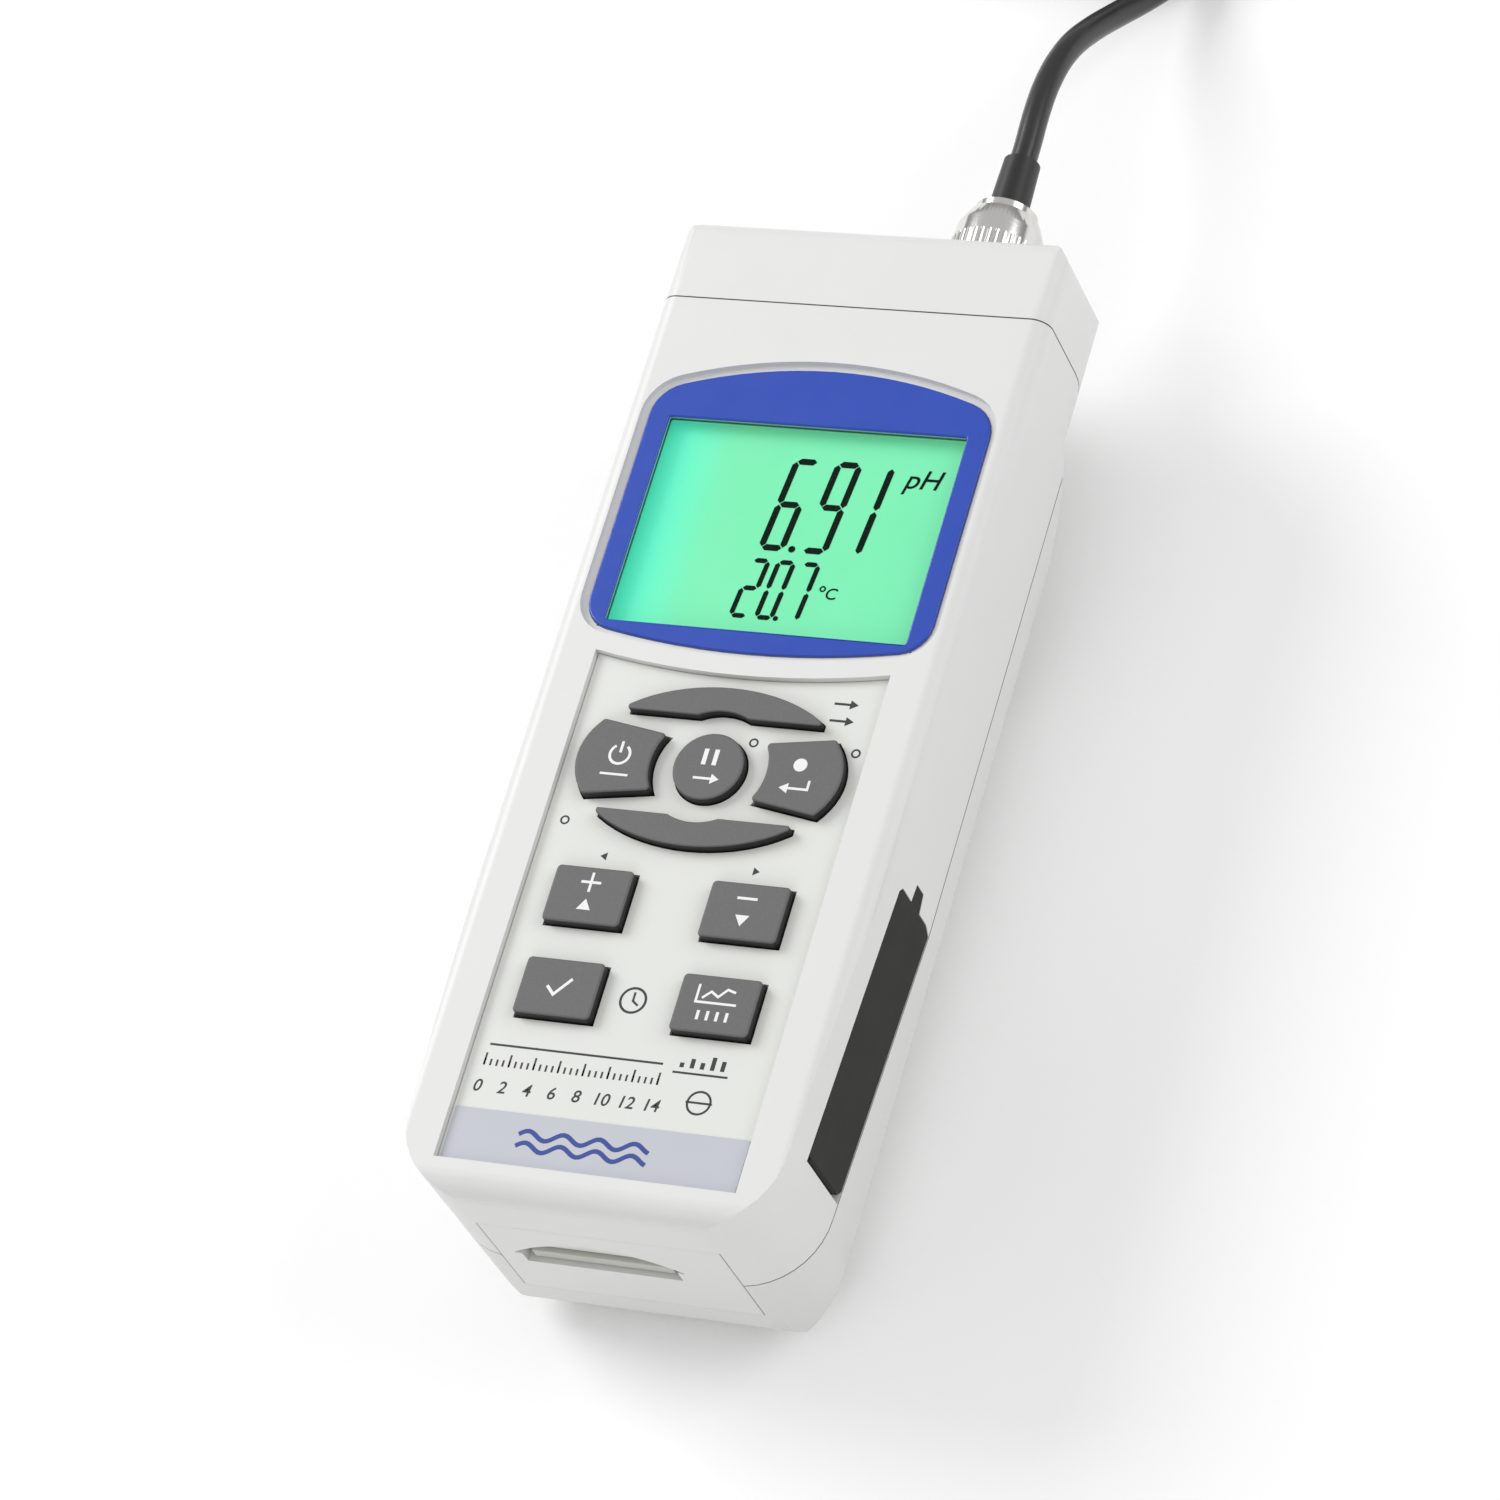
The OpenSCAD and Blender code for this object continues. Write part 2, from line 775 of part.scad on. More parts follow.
module buzzer() color("black") translate([15, tripod_y, main_z - 4.5]) difference() {
  cylinder(h = 4.5, r = 6);
  translate([0, 0, -1]) cylinder(h = 3, r = 1);
}

module electrode_socket() color("silver") translate([sock_x, y_top, sock_z]) face_y() {
  difference() {
    union() {
      cylinder(h = flange_t, r = flange_r);
      cylinder(h = sock_out, r = sock_r);
      translate([0, 0, -thread_in]) cylinder(h = thread_in + eps, r = sock_r);
      for (a = [0, 180]) rotate(a) translate([0, 0, stud_y]) face_x() cylinder(h = stud_reach, r = stud_r);
    }
    translate([0, 0, 1]) cylinder(h = sock_out, r = sock_bore_r);
    translate([0, 0, -thread_in - 1]) cylinder(h = thread_in + 3, r = contact_r);
  }
}

module socket_contact() color("gold") translate([sock_x, y_top, sock_z]) face_y() difference() {
  translate([0, 0, -thread_in - 3]) cylinder(h = thread_in + 3 + sock_out - 2.5, r = contact_r);
  translate([0, 0, 1]) cylinder(h = sock_out, r = contact_bore_r);
}

module socket_nut() color("silver") translate([sock_x, y_top - wall - nut_t, sock_z]) face_y() {
  difference() {
    cylinder(h = nut_t, r = nut_r, $fn = 6);
    translate([0, 0, -1]) cylinder(h = nut_t + 2, r = sock_r);
  }
}

module temperature_jack() color("black") translate([temp_x, y_top, sock_z]) face_y() difference() {
  union() {
    translate([0, 0, -wall - 12]) cylinder(h = wall + 12.3, r = temp_nose_r);
    translate([0, 0, -wall - 12]) cylinder(h = 12, r = temp_nose_r + 1.4);
  }
  translate([0, 0, -wall - 10]) cylinder(h = wall + 12, r = jack_bore / 2);
}

// A board socket behind the flap, its mouth towards +X
module side_jack(y, bore, depth) {
  mouth = side_x(y) - flap_t - nose_gap;
  back = mouth - jack_l;
  shell_in = side_x(y) - wall - 0.2;
  difference() {
    union() {
      block(back, y - 4.4, main_z + board_t, shell_in, y + 4.4, jack_z + 4);
      translate([back, y, jack_z]) face_x() cylinder(h = mouth - back, r = nose_r);
    }
    translate([mouth - depth, y, jack_z]) face_x() cylinder(h = depth + 1, r = bore / 2);
  }
}

module serial_jack() color("black") side_jack(serial_y, jack_bore, 11);

module power_jack() color("black") {
  side_jack(dc_y, dc_bore, 9);
  translate([side_x(dc_y) - flap_t - nose_gap - 9, dc_y, jack_z]) face_x() cylinder(h = 8, r = 1);
}

module reset_button() color("red") {
  mouth = side_x(reset_y) - flap_t - nose_gap;
  translate([mouth - 5, reset_y, jack_z]) face_x() cylinder(h = 5, r = reset_r);
  translate([mouth - 5, reset_y, jack_z]) face_x() cylinder(h = 1.4, r = reset_r + 0.9);
}

// The flap turns about a round bead along its card end
bead_r = flap_t / 2 - 0.1;
bead_y = lcd_y - flap_down + bead_r + hinge_room;

module side_flap() color("darkslategray") {
  difference() {
    flap_zone();
    block(0, bead_y - far, 0, far, bead_y, case_d);
  }
  translate([side_x(bead_y) - flap_t / 2, bead_y, flap_low + flap_cut]) {
    cylinder(h = flap_high - flap_low - 1.5 * flap_cut, r = bead_r);
  }
}

// ---------- memory card ----------

card_y = y_bot + card_in;

module memory_card() color("navy") {
  translate([card_x - card_w / 2, card_y, card_z]) linear_extrude(card_t) polygon([
    [0, 0], [card_w, 0], [card_w, card_l], [4.5, card_l], [0, card_l - 4.5]
  ]);
}

module card_socket() color("silver") difference() {
  block(card_x - card_w / 2 - 1.2, y_bot + wall + 0.4, card_z - card_play - card_wall,
    card_x + card_w / 2 + 1.2, y_bot + wall + 28, main_z);
  block(card_x - card_w / 2 - card_play, y_bot, card_z - card_play,
    card_x + card_w / 2 + card_play, card_y + card_l + 2, card_z + card_t + card_play);
}

// ---------- power ----------

module battery_cells() color("goldenrod") {
  for (column = [-1:1]) {
    for (row = [-1, 1]) {
      flip_a = column == 0 ? 180 : 0;
      translate([column * cell_pitch, cell_y + row * cell_step / 2, cell_z]) rotate([0, 0, flip_a]) {
        one_cell();
      }
    }
  }
}

// A cell along Y about its middle, with its raised end towards +Y
module one_cell() translate([0, -cell_l / 2, 0]) face_y() {
  cylinder(h = cell_l - 1.2, r = cell_r);
  cylinder(h = cell_l, r = 2.7);
}

module battery_contacts() color("silver") {
  for (column = [-1:1]) {
    x = column * cell_pitch;
    block(x - 5, bay_y0, cell_z - 5, x + 5, bay_y0 + tab_t, cell_z + 5);
    block(x - 5, bay_y1 - tab_t, cell_z - 5, x + 5, bay_y1, cell_z + 5);
  }
}

module battery_door() color("gainsboro") difference() {
  union() {
    intersection() {
      skin(0, wall);
      door_zone(0);
    }
    intersection() {
      case_solid(0);
      block(-stand_w / 2 - 2, stand_y - stand_l - nail_l - 1, 0, stand_w / 2 + 2,
        stand_y + stand_eye_r + stand_gap + 1.2, stand_floor + stand_pad);
    }
  }
  block(-stand_w / 2 - stand_gap, stand_y - stand_l - nail_l, -1, stand_w / 2 + stand_gap,
    stand_y + stand_eye_r + stand_gap, stand_floor);
  translate([0, stand_y, stand_pin_z]) face_x() cylinder(h = stand_w + 3, r = stand_pin_r, center = true);
  for (x = [-door_screw_x, door_screw_x]) translate([x, door_screw_y, 0]) {
    translate([0, 0, -1]) cylinder(h = 12, r = screw_r + 0.1);
    translate([0, 0, -1]) cylinder(h = 4.6, r = screw_head_r + 0.1);
  }
}

module door_screws() color("silver") {
  for (x = [-door_screw_x, door_screw_x]) translate([x, door_screw_y, 0]) {
    translate([0, 0, 3.6 - screw_head_t]) cylinder(h = screw_head_t, r = screw_head_r);
    translate([0, 0, 3.6]) cylinder(h = 9, r = screw_r);
  }
}

module kickstand() color("gainsboro") difference() {
  union() {
    block(-stand_w / 2, stand_y - stand_l, stand_lift, stand_w / 2, stand_y, stand_lift + stand_t);
    translate([0, stand_y, stand_pin_z]) face_x() cylinder(h = stand_w, r = stand_eye_r, center = true);
  }
  translate([0, stand_y, stand_pin_z]) face_x() {
    cylinder(h = stand_w + 2, r = stand_pin_r + pin_fit, center = true);
  }
}

module stand_pin() color("silver") translate([0, stand_y, stand_pin_z]) face_x() {
  cylinder(h = stand_w + 3, r = stand_pin_r, center = true);
}

module tripod_insert() color("gold") translate([0, tripod_y, head_z]) difference() {
  cylinder(h = tripod_l, r = tripod_r);
  translate([0, 0, -1]) cylinder(h = tripod_l, r = tripod_bore / 2);
}

// ---------- plug ----------

module plug_body() color("silver") translate([sock_x, y_top, sock_z]) face_y() difference() {
  union() {
    translate([0, 0, 1.6]) cylinder(h = collar_y1 - 1.6, r = sleeve_r);
    translate([0, 0, sock_out + plug_flange_gap]) {
      cylinder(h = plug_flange_t, r = collar_bore_r - 0.15);
      cylinder(h = collar_y1 - sock_out, r = neck_r);
    }
    translate([0, 0, collar_y1 + 0.1]) cylinder(h = heel_y1 - collar_y1 - 0.1, r = heel_r);
  }
  translate([0, 0, 1]) cylinder(h = sock_out - 1.2, r = sleeve_r - sleeve_wall);
  translate([0, 0, 1]) cylinder(h = heel_y1, r = pin_r);
}

module plug_pin() color("gold") translate([sock_x, y_top, sock_z]) face_y() {
  translate([0, 0, 2]) cylinder(h = heel_y1 - 3, r = pin_r);
}

module plug_collar() color("silver") translate([sock_x, y_top, sock_z]) face_y() difference() {
  union() {
    translate([0, 0, collar_y0]) cylinder(h = collar_y1 - collar_slope_l - collar_y0, r = collar_r);
    translate([0, 0, collar_y1 - collar_slope_l]) cylinder(h = collar_slope_l, r1 = collar_r, r2 = collar_end_r);
  }
  cylinder(h = collar_y1 - collar_web, r = collar_bore_r);
  cylinder(h = collar_y1 + 1, r = neck_r + neck_fit);
}

module plug_boot() color("black") translate([sock_x, y_top + heel_y1, sock_z]) face_y() {
  cylinder(h = boot_y1 - heel_y1, r1 = boot_r0, r2 = boot_r1);
}

// ---------- lead ----------

function unit(v) = v / norm(v);

// Direction of a route at point k
function heading(p, k) = unit(p[min(k + 1, len(p) - 1)] - p[max(k - 1, 0)]);

function level(t) = unit(cross(t, [0, 0, 1]));

function ring_at(p, k, r, n, t) = [
  for (j = [0:n - 1]) p[k] + r * (cos(360 * j / n) * level(t) + sin(360 * j / n) * cross(level(t), t))
];

// Straight end faces: the first and last rings stand square to the ends given
function end_heading(p, k, first, last) = k == 0 ? first : k == len(p) - 1 ? last : heading(p, k);

module swept(p, first, last) {
  n = lead_sides;
  m = len(p);
  rings = [for (k = [0:m - 1]) each ring_at(p, k, lead_r, n, end_heading(p, k, first, last))];
  walls = [
    for (k = [0:m - 2]) for (j = [0:n - 1])
      [k * n + j, k * n + (j + 1) % n, (k + 1) * n + (j + 1) % n, (k + 1) * n + j]
  ];
  start = [[for (j = [n - 1:-1:0]) j]];
  finish = [[for (j = [0:n - 1]) (m - 1) * n + j]];
  polyhedron(points = rings, faces = concat(walls, start, finish), convexity = 6);
}

module lead_run() color("black") swept(run_points, [0, 1, 0], [0.2, 1, 0]);

module lead_tail() color("black") swept(tail_points, [1, 0.2, 0], [0, 1, 0]);

module lead_coil() color("black") translate([coil_x, coil_y, 0]) rotate_extrude() {
  plate_2d(coil_in_r, coil_low, coil_out_r, coil_high,
    [coil_edge_r, coil_edge_r, coil_edge_r, coil_edge_r]);
}

module coil_tie() color("black") difference() {
  block(coil_x - coil_out_r - tie_t, coil_y - tie_w / 2, coil_low - tie_t,
    coil_x - coil_in_r + tie_gap + tie_t, coil_y + tie_w / 2, coil_high + tie_t);
  block(coil_x - coil_out_r, coil_y - tie_w, coil_low, coil_x - coil_in_r + tie_gap, coil_y + tie_w,
    coil_high);
}

// ---------- electrode ----------

module along_probe(d) translate([probe_x, probe_y + d, probe_z]) face_y() children();

module probe_boot() color("black") along_probe(0) cylinder(h = relief_l, r1 = relief_r0, r2 = relief_r1);

module probe_head() color("black") along_probe(relief_l) difference() {
  union() {
    cylinder(h = grip_l - 2, r = grip_r);
    translate([0, 0, grip_l - 2]) cylinder(h = 2, r1 = grip_r, r2 = probe_r + 0.6);
  }
  for (k = [0:4]) translate([0, 0, 5 + 4 * k]) difference() {
    cylinder(h = 1.6, r = grip_r + 1);
    translate([0, 0, -1]) cylinder(h = 4, r = grip_r - 0.6);
  }
}

tube_d = relief_l + grip_l;

module probe_tube() color("darkslateblue") along_probe(tube_d) difference() {
  cylinder(h = probe_l, r = probe_r);
  translate([0, 0, probe_l - 3]) cylinder(h = 4, r = probe_r - 1.2);
}

module probe_bulb() color("azure", 0.5) along_probe(tube_d + probe_l - 3) {
  cylinder(h = bulb_l - bulb_r, r = bulb_r - 0.6);
  translate([0, 0, bulb_l - bulb_r]) sphere(bulb_r);
}

module probe_bottle() color("whitesmoke") along_probe(tube_d + probe_l - bottle_lap) difference() {
  union() {
    cylinder(h = bottle_l, r = bottle_r - 0.8);
    cylinder(h = 8, r = bottle_r);
  }
  translate([0, 0, -1]) cylinder(h = 9, r = probe_r + bottle_fit);
  translate([0, 0, 7.9]) cylinder(h = bottle_l - bottle_wall - 7.9, r = bottle_r - 0.8 - bottle_wall);
}

front_shell();
rear_shell();
socket_cap();
card_end_plate();
display_surround();
display_pane();
display_glass();
display_light();
display_holder();
keypad_plate();
label_strip();
key_mat();
key_power();
key_hold();
key_record();
key_arc_upper();
key_arc_lower();
key_up();
key_down();
key_set();
key_logger();
key_board();
main_board();
board_parts();
board_spacers();
buzzer();
electrode_socket();
socket_nut();
socket_contact();
temperature_jack();
serial_jack();
reset_button();
power_jack();
side_flap();
card_socket();
memory_card();
battery_cells();
battery_contacts();
battery_door();
door_screws();
kickstand();
stand_pin();
tripod_insert();
case_screws();
plug_body();
plug_pin();
plug_collar();
plug_boot();
lead_run();
lead_coil();
lead_tail();
coil_tie();
probe_boot();
probe_head();
probe_tube();
probe_bulb();
probe_bottle();
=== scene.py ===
# %% [markdown]
# # A handheld pH meter and its electrode
# The meter lies on its back: a pale two-part case, a blue-framed display with a green backlight, a
# printed keypad with rubber keys, a rubber flap over the side sockets, and a bayonet plug whose lead
# runs to an electrode. The engineering model is loaded first, and everything here is dressed onto it.

# %% Frame and sizes
import math

import bmesh
import bpy
from mathutils import Matrix, Vector


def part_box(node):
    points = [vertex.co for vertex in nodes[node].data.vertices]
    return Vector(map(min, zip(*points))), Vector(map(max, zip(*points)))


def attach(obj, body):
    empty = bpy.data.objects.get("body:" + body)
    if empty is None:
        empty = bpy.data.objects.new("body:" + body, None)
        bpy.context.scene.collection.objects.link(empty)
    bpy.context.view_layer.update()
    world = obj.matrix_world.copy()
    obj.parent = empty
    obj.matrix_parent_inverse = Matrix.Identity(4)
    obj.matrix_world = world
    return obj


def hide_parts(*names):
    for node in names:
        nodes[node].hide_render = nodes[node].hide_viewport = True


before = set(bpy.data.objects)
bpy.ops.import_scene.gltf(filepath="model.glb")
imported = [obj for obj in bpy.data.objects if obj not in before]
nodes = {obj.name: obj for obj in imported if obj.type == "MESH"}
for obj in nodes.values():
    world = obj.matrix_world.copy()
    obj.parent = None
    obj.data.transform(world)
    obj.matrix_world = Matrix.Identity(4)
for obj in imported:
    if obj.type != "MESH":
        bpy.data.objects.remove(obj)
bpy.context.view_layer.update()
MM = 0.001


# %% [markdown]
# ## Camera
# A product picture taken from above the card end, with a long lens so that the case hardly tapers.
# The camera could track a target, but the meter also lies askew in the picture, so its turn is
# given as one angle about one axis, which holds the roll as well.

# %% Camera
def product_camera():
    lens = bpy.data.cameras.new("camera")
    lens.lens = 161
    lens.sensor_width = 36
    lens.clip_start = 0.05
    lens.clip_end = 20
    camera = bpy.data.objects.new("camera", lens)
    bpy.context.scene.collection.objects.link(camera)
    place = Matrix.Translation((0.4269, -0.4496, 0.8953))
    camera.matrix_world = place @ Matrix.Rotation(math.radians(37.16), 4, Vector((0.486, 0.385, 0.190)))
    bpy.context.scene.camera = camera
    return camera


print("camera at", [round(v, 3) for v in product_camera().matrix_world.translation])


# %% [markdown]
# ## Shader expressions
# Finishes are worked out as sums: grain times a tint, one mask minus another. Wiring Math nodes by
# hand hides the sum, so a small class wraps a socket and lets Python's operators add the nodes. A
# second class holds one material and adds any other node in a single call.

# %% Socket arithmetic
class Field:
    """A shader value that can be added, subtracted, multiplied and compared."""

    def __init__(self, finish, socket):
        self.finish = finish
        self.socket = socket

    def _math(self, operation, *values):
        return self.finish.node("Math", {"operation": operation}, values)

    def __add__(self, other):
        return self._math("ADD", self, other)

    def __sub__(self, other):
        return self._math("SUBTRACT", self, other)

    def __rsub__(self, other):
        return self._math("SUBTRACT", other, self)

    def __mul__(self, other):
        return self._math("MULTIPLY", self, other)

    def __gt__(self, other):
        return self._math("GREATER_THAN", self, other)

    def __lt__(self, other):
        return self._math("LESS_THAN", self, other)

    def size(self):
        return self._math("ABSOLUTE", self)

    def wave(self):
        return self._math("SINE", self)

    __radd__ = __add__
    __rmul__ = __mul__


class Finish:
    """One material: its main shader, and short ways to the nodes that feed it."""

    def __init__(self, name, colour, roughness, **sockets):
        self.material = bpy.data.materials.new(name)
        self.material.use_nodes = True
        self.tree = self.material.node_tree
        self.shader = self.tree.nodes["Principled BSDF"]
        self.colour = colour
        self.roughness = roughness
        self.set("Base Color", colour)
        self.set("Roughness", roughness)
        for socket, value in sockets.items():
            self.set(socket.replace("_", " "), value)

    def set(self, socket, value):
        if isinstance(value, Field):
            self.tree.links.new(value.socket, self.shader.inputs[socket])
            return
        if isinstance(value, tuple):
            value = (*value, 1.0)[:4]
        self.shader.inputs[socket].default_value = value

    def node(self, kind, settings=None, values=(), out=0):
        """Adds a node: its settings first, then its sockets by place or by name."""
        made = self.tree.nodes.new("ShaderNode" + kind)
        for key, value in (settings or {}).items():
            if key == "stops":
                for stop, (place, colour) in zip(self._stops(made, len(value)), value):
                    stop.position = place
                    stop.color = (*colour, 1.0)
            else:
                setattr(made, key, value)
        pairs = values.items() if isinstance(values, dict) else enumerate(values)
        for key, value in pairs:
            if isinstance(value, Field):
                self.tree.links.new(value.socket, made.inputs[key])
            elif value is not None:
                made.inputs[key].default_value = value
        return Field(self, made.outputs[out])

    def _stops(self, ramp, count):
        elements = ramp.color_ramp.elements
        while len(elements) < count:
            elements.new(0.5)
        return elements

    def place(self):
        """Where a point of the piece is, in metres."""
        return self.node("TexCoord", out=3)

    def along(self, axis):
        return self.node("SeparateXYZ", None, [self.place()], out="XYZ".index(axis))

    def noise(self, grain, detail=2.0, stretch=(1, 1, 1)):
        """Grain whose lumps are about as many metres across as given."""
        where = self.node("Mapping", None, {"Vector": self.place(), "Scale": stretch})
        return self.node("TexNoise", None, {"Vector": where, "Scale": 1 / grain, "Detail": detail})

    def step(self, value, low, high, to_low=0.0, to_high=1.0):
        """Runs smoothly from to_low to to_high as value goes from low to high."""
        return self.node("MapRange", {"interpolation_type": "SMOOTHSTEP"}, [value, low, high, to_low, to_high])

    def mix(self, mask, below, above):
        """A colour between two others."""
        below = (*below, 1.0) if isinstance(below, tuple) else below
        above = (*above, 1.0) if isinstance(above, tuple) else above
        return self.node("Mix", {"data_type": "RGBA"}, {0: mask, 6: below, 7: above}, out=2)

    def bump(self, height, depth):
        """Relief of about depth metres."""
        self.set("Normal", self.node("Bump", None, {"Strength": 1.0, "Distance": depth, "Height": height}))

    def tinted(self, spread, grain):
        """Breaks a flat colour up a little, as pigment and handling do."""
        darker = tuple(c * (1 - spread) for c in self.colour)
        lighter = tuple(min(1, c * (1 + spread)) for c in self.colour)
        self.tint = self.mix(self.noise(grain, 4.0), darker, lighter)
        self.set("Base Color", self.tint)
        return self


print("shader helpers ready")


# %% [markdown]
# ## Moulded plastics and rubbers
# The case is ABS from a spark-eroded mould: satin, with grain of a third of a millimetre, slightly
# uneven in gloss where it has been handled. A flat grey looks like a drawing, so each plastic gets
# three things from noise at its own scale: pigment, gloss and relief. One function makes them all.

# %% Plastics
def moulded(name, colour, roughness, grain=0.00035, relief=0.000012, spread=0.02, **sockets):
    finish = Finish(name, colour, roughness, **sockets)
    finish.tinted(spread, 0.012)
    uneven = finish.noise(0.006, 3.0)
    finish.set("Roughness", uneven * 0.12 + (roughness - 0.06))
    finish.bump(finish.noise(grain, 3.0), relief)
    return finish


case_plastic = moulded("case_plastic", (0.70, 0.70, 0.695), 0.42, Coat_Weight=0.08, Coat_Roughness=0.3)
rear_plastic = moulded("rear_plastic", (0.68, 0.68, 0.67), 0.46, Coat_Weight=0.05, Coat_Roughness=0.3)
door_plastic = moulded("door_plastic", (0.68, 0.68, 0.67), 0.46, Coat_Weight=0.05, Coat_Roughness=0.3)
white_plastic = moulded("white_plastic", (0.66, 0.66, 0.64), 0.5)
black_plastic = moulded("black_plastic", (0.018, 0.018, 0.019), 0.38, relief=0.000008)
grip_plastic = moulded("grip_plastic", (0.022, 0.022, 0.024), 0.45, grain=0.0005, relief=0.00003)
red_plastic = moulded("red_plastic", (0.45, 0.02, 0.015), 0.35, relief=0.000005)
flap_rubber = moulded("flap_rubber", (0.022, 0.021, 0.020), 0.7, 0.0005, 0.00002, 0.12, Specular_IOR_Level=0.25)
boot_rubber = moulded("boot_rubber", (0.012, 0.012, 0.013), 0.42, 0.0006, 0.00001, 0.1)
chip_plastic = moulded("chip_plastic", (0.02, 0.02, 0.02), 0.55, relief=0.000006)
tie_plastic = moulded("tie_plastic", (0.02, 0.02, 0.022), 0.34, relief=0.000004)
print("plastics:", len(bpy.data.materials), "materials so far")


# %% [markdown]
# The shells, the cap and the end plate meet at gaps of a tenth of a millimetre. On the real case each
# gap reads as a thin dark line, as it is deep and dark inside. The gap itself is modelled, and shade is
# painted into the plastic within an eighth of a millimetre of it, by masks on distance from each joint.

# %% Painted shade at the joints
shell_low, shell_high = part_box("front_shell")
plate_low, plate_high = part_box("card_end_plate")
cap_joint = shell_high.y + 0.05 * MM
shell_joint = shell_low.z - 0.05 * MM


def joint_lines(finish, whole_case=True):
    def near(value, place):
        return (value - place).size() < 0.13 * MM

    x, y, z = (finish.along(axis) for axis in "XYZ")
    # Painted shade: the plastic is darkened along each joint, where little light reaches into the gap.
    end = near(x.size(), plate_high.x + 0.05 * MM) * (z < plate_high.z) * (z > plate_low.z)
    joint_shade = end * (y < plate_low.y + 2.5 * MM) * 0.6
    if whole_case:
        joint_shade = joint_shade + near(y, cap_joint) + near(z, shell_joint) * (y < cap_joint)
    finish.set("Base Color", finish.mix(joint_shade, finish.tint, (0.15, 0.145, 0.135)))


end_plastic = moulded("end_plastic", (0.70, 0.70, 0.695), 0.42, Coat_Weight=0.08, Coat_Roughness=0.3)
joint_lines(case_plastic)
joint_lines(rear_plastic)
joint_lines(end_plastic, whole_case=False)
print("joints at y", round(cap_joint / MM, 2), "and z", round(shell_joint / MM, 2), "mm")


# %% [markdown]
# ## Rubber keys
# Each key is charcoal silicone whose top is sprayed a lighter grey, so that its sides read almost
# black. Two materials would need a hard line round the edge. One material with a mask on height puts
# the line where the spray fades out, over a tenth of a millimetre of the rounded edge.

# %% Key rubber
key_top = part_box("key_hold")[1].z


def sprayed_rubber():
    finish = Finish("key_rubber", (0.127, 0.127, 0.128), 0.55, Specular_IOR_Level=0.4)
    top = finish.step(finish.along("Z"), key_top - 0.36 * MM, key_top - 0.16 * MM)
    speckle = finish.noise(0.0005, 3.0)
    grey = finish.mix(speckle, (0.112, 0.112, 0.114), (0.142, 0.142, 0.143))
    finish.set("Base Color", finish.mix(top, (0.008, 0.008, 0.009), grey))
    finish.set("Roughness", finish.noise(0.004, 3.0) * 0.1 + 0.5)
    finish.bump(speckle, 0.00001)
    return finish


key_rubber = sprayed_rubber()
mat_rubber = moulded("mat_rubber", (0.06, 0.06, 0.06), 0.6)
print("key tops at", round(key_top / MM, 2), "mm")


# %% [markdown]
# ## Metals
# The bayonet plug is bright nickel plate over turned brass. Plate keeps the tool's fine rings, so the
# grain is stretched round the turning axis: it changes quickly along the part and hardly at all round
# it. Stamped and zinc-plated pieces get an even grain instead.

# %% Metals
def plated(name, colour, roughness, turned=None, relief=0.000004):
    finish = Finish(name, colour, roughness, Metallic=1.0)
    stretch = tuple(6 if axis == turned else 0.25 for axis in "XYZ") if turned else (1, 1, 1)
    rings = finish.noise(0.0008, 3.0, stretch)
    finish.set("Base Color", finish.mix(rings, tuple(c * 0.9 for c in colour), colour))
    finish.set("Roughness", finish.noise(0.003, 3.0) * 0.12 + (roughness - 0.06))
    finish.bump(rings, relief)
    return finish


nickel = plated("nickel", (0.72, 0.71, 0.69), 0.16, "Y")
steel = plated("steel", (0.58, 0.58, 0.57), 0.32)
spring_steel = plated("spring_steel", (0.66, 0.65, 0.62), 0.28)
gold = plated("gold", (0.88, 0.62, 0.27), 0.22, "Y")
brass = plated("brass", (0.72, 0.53, 0.25), 0.3, "Z")
print("metals ready")


# %% [markdown]
# ## Display finishes
# The lit display is even green, cooler at its left edge where the lamp sits. Its own light comes from
# emission with the same pattern as its colour. The frame is printed gloss blue. Below the printed face a
# mask on height paints a pale highlight on the window's lip and dark green painted shade on the wall.

# %% Display finishes
glass_low, glass_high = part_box("display_glass")
lcd_x = (glass_low.x + glass_high.x) / 2
lcd_y = (glass_low.y + glass_high.y) / 2
lcd_z = glass_high.z
frame_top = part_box("display_surround")[1].z


def lit_green():
    finish = Finish("lit_green", (0.13, 0.58, 0.31), 0.3, Emission_Strength=0.6)
    lamp = finish.step(finish.along("X"), -0.027, -0.012, 1.0, 0.0)
    cloud = finish.noise(0.018, 2.0)
    green = finish.mix(cloud, (0.115, 0.56, 0.29), (0.145, 0.60, 0.325))
    shade = finish.mix(lamp * 0.8, green, (0.05, 0.68, 0.46))
    finish.set("Base Color", shade)
    finish.set("Emission Color", shade)
    finish.bump(finish.noise(0.0002, 1.0), 0.000002)
    return finish


def printed_blue():
    finish = Finish("printed_blue", (0.013, 0.058, 0.42), 0.24, Coat_Weight=0.1, Coat_Roughness=0.12)
    face = finish.step(finish.along("Z"), frame_top - 0.55 * MM, frame_top - 0.3 * MM)
    ink = finish.mix(finish.noise(0.01, 3.0), (0.010, 0.052, 0.39), (0.018, 0.064, 0.44))
    # Painted light on the window's cut edge: a pale painted highlight on the lip, dark painted shade below it.
    lip_highlight = finish.step(finish.along("Z"), frame_top - 0.8 * MM, frame_top - 0.7 * MM)
    edge_light_and_shade = finish.mix(lip_highlight, (0.006, 0.022, 0.014), (0.30, 0.36, 0.50))
    finish.set("Base Color", finish.mix(face, edge_light_and_shade, ink))
    finish.set("Roughness", finish.noise(0.004, 3.0) * 0.1 + 0.2)
    finish.bump(finish.noise(0.0004, 2.0), 0.000004)
    return finish


def clear(name, alpha, colour=(0.95, 0.97, 0.97), **sockets):
    finish = Finish(name, colour, 0.06, **sockets)
    finish.set("Alpha", alpha)
    finish.set("Roughness", finish.noise(0.01, 3.0) * 0.06 + 0.03)
    return finish


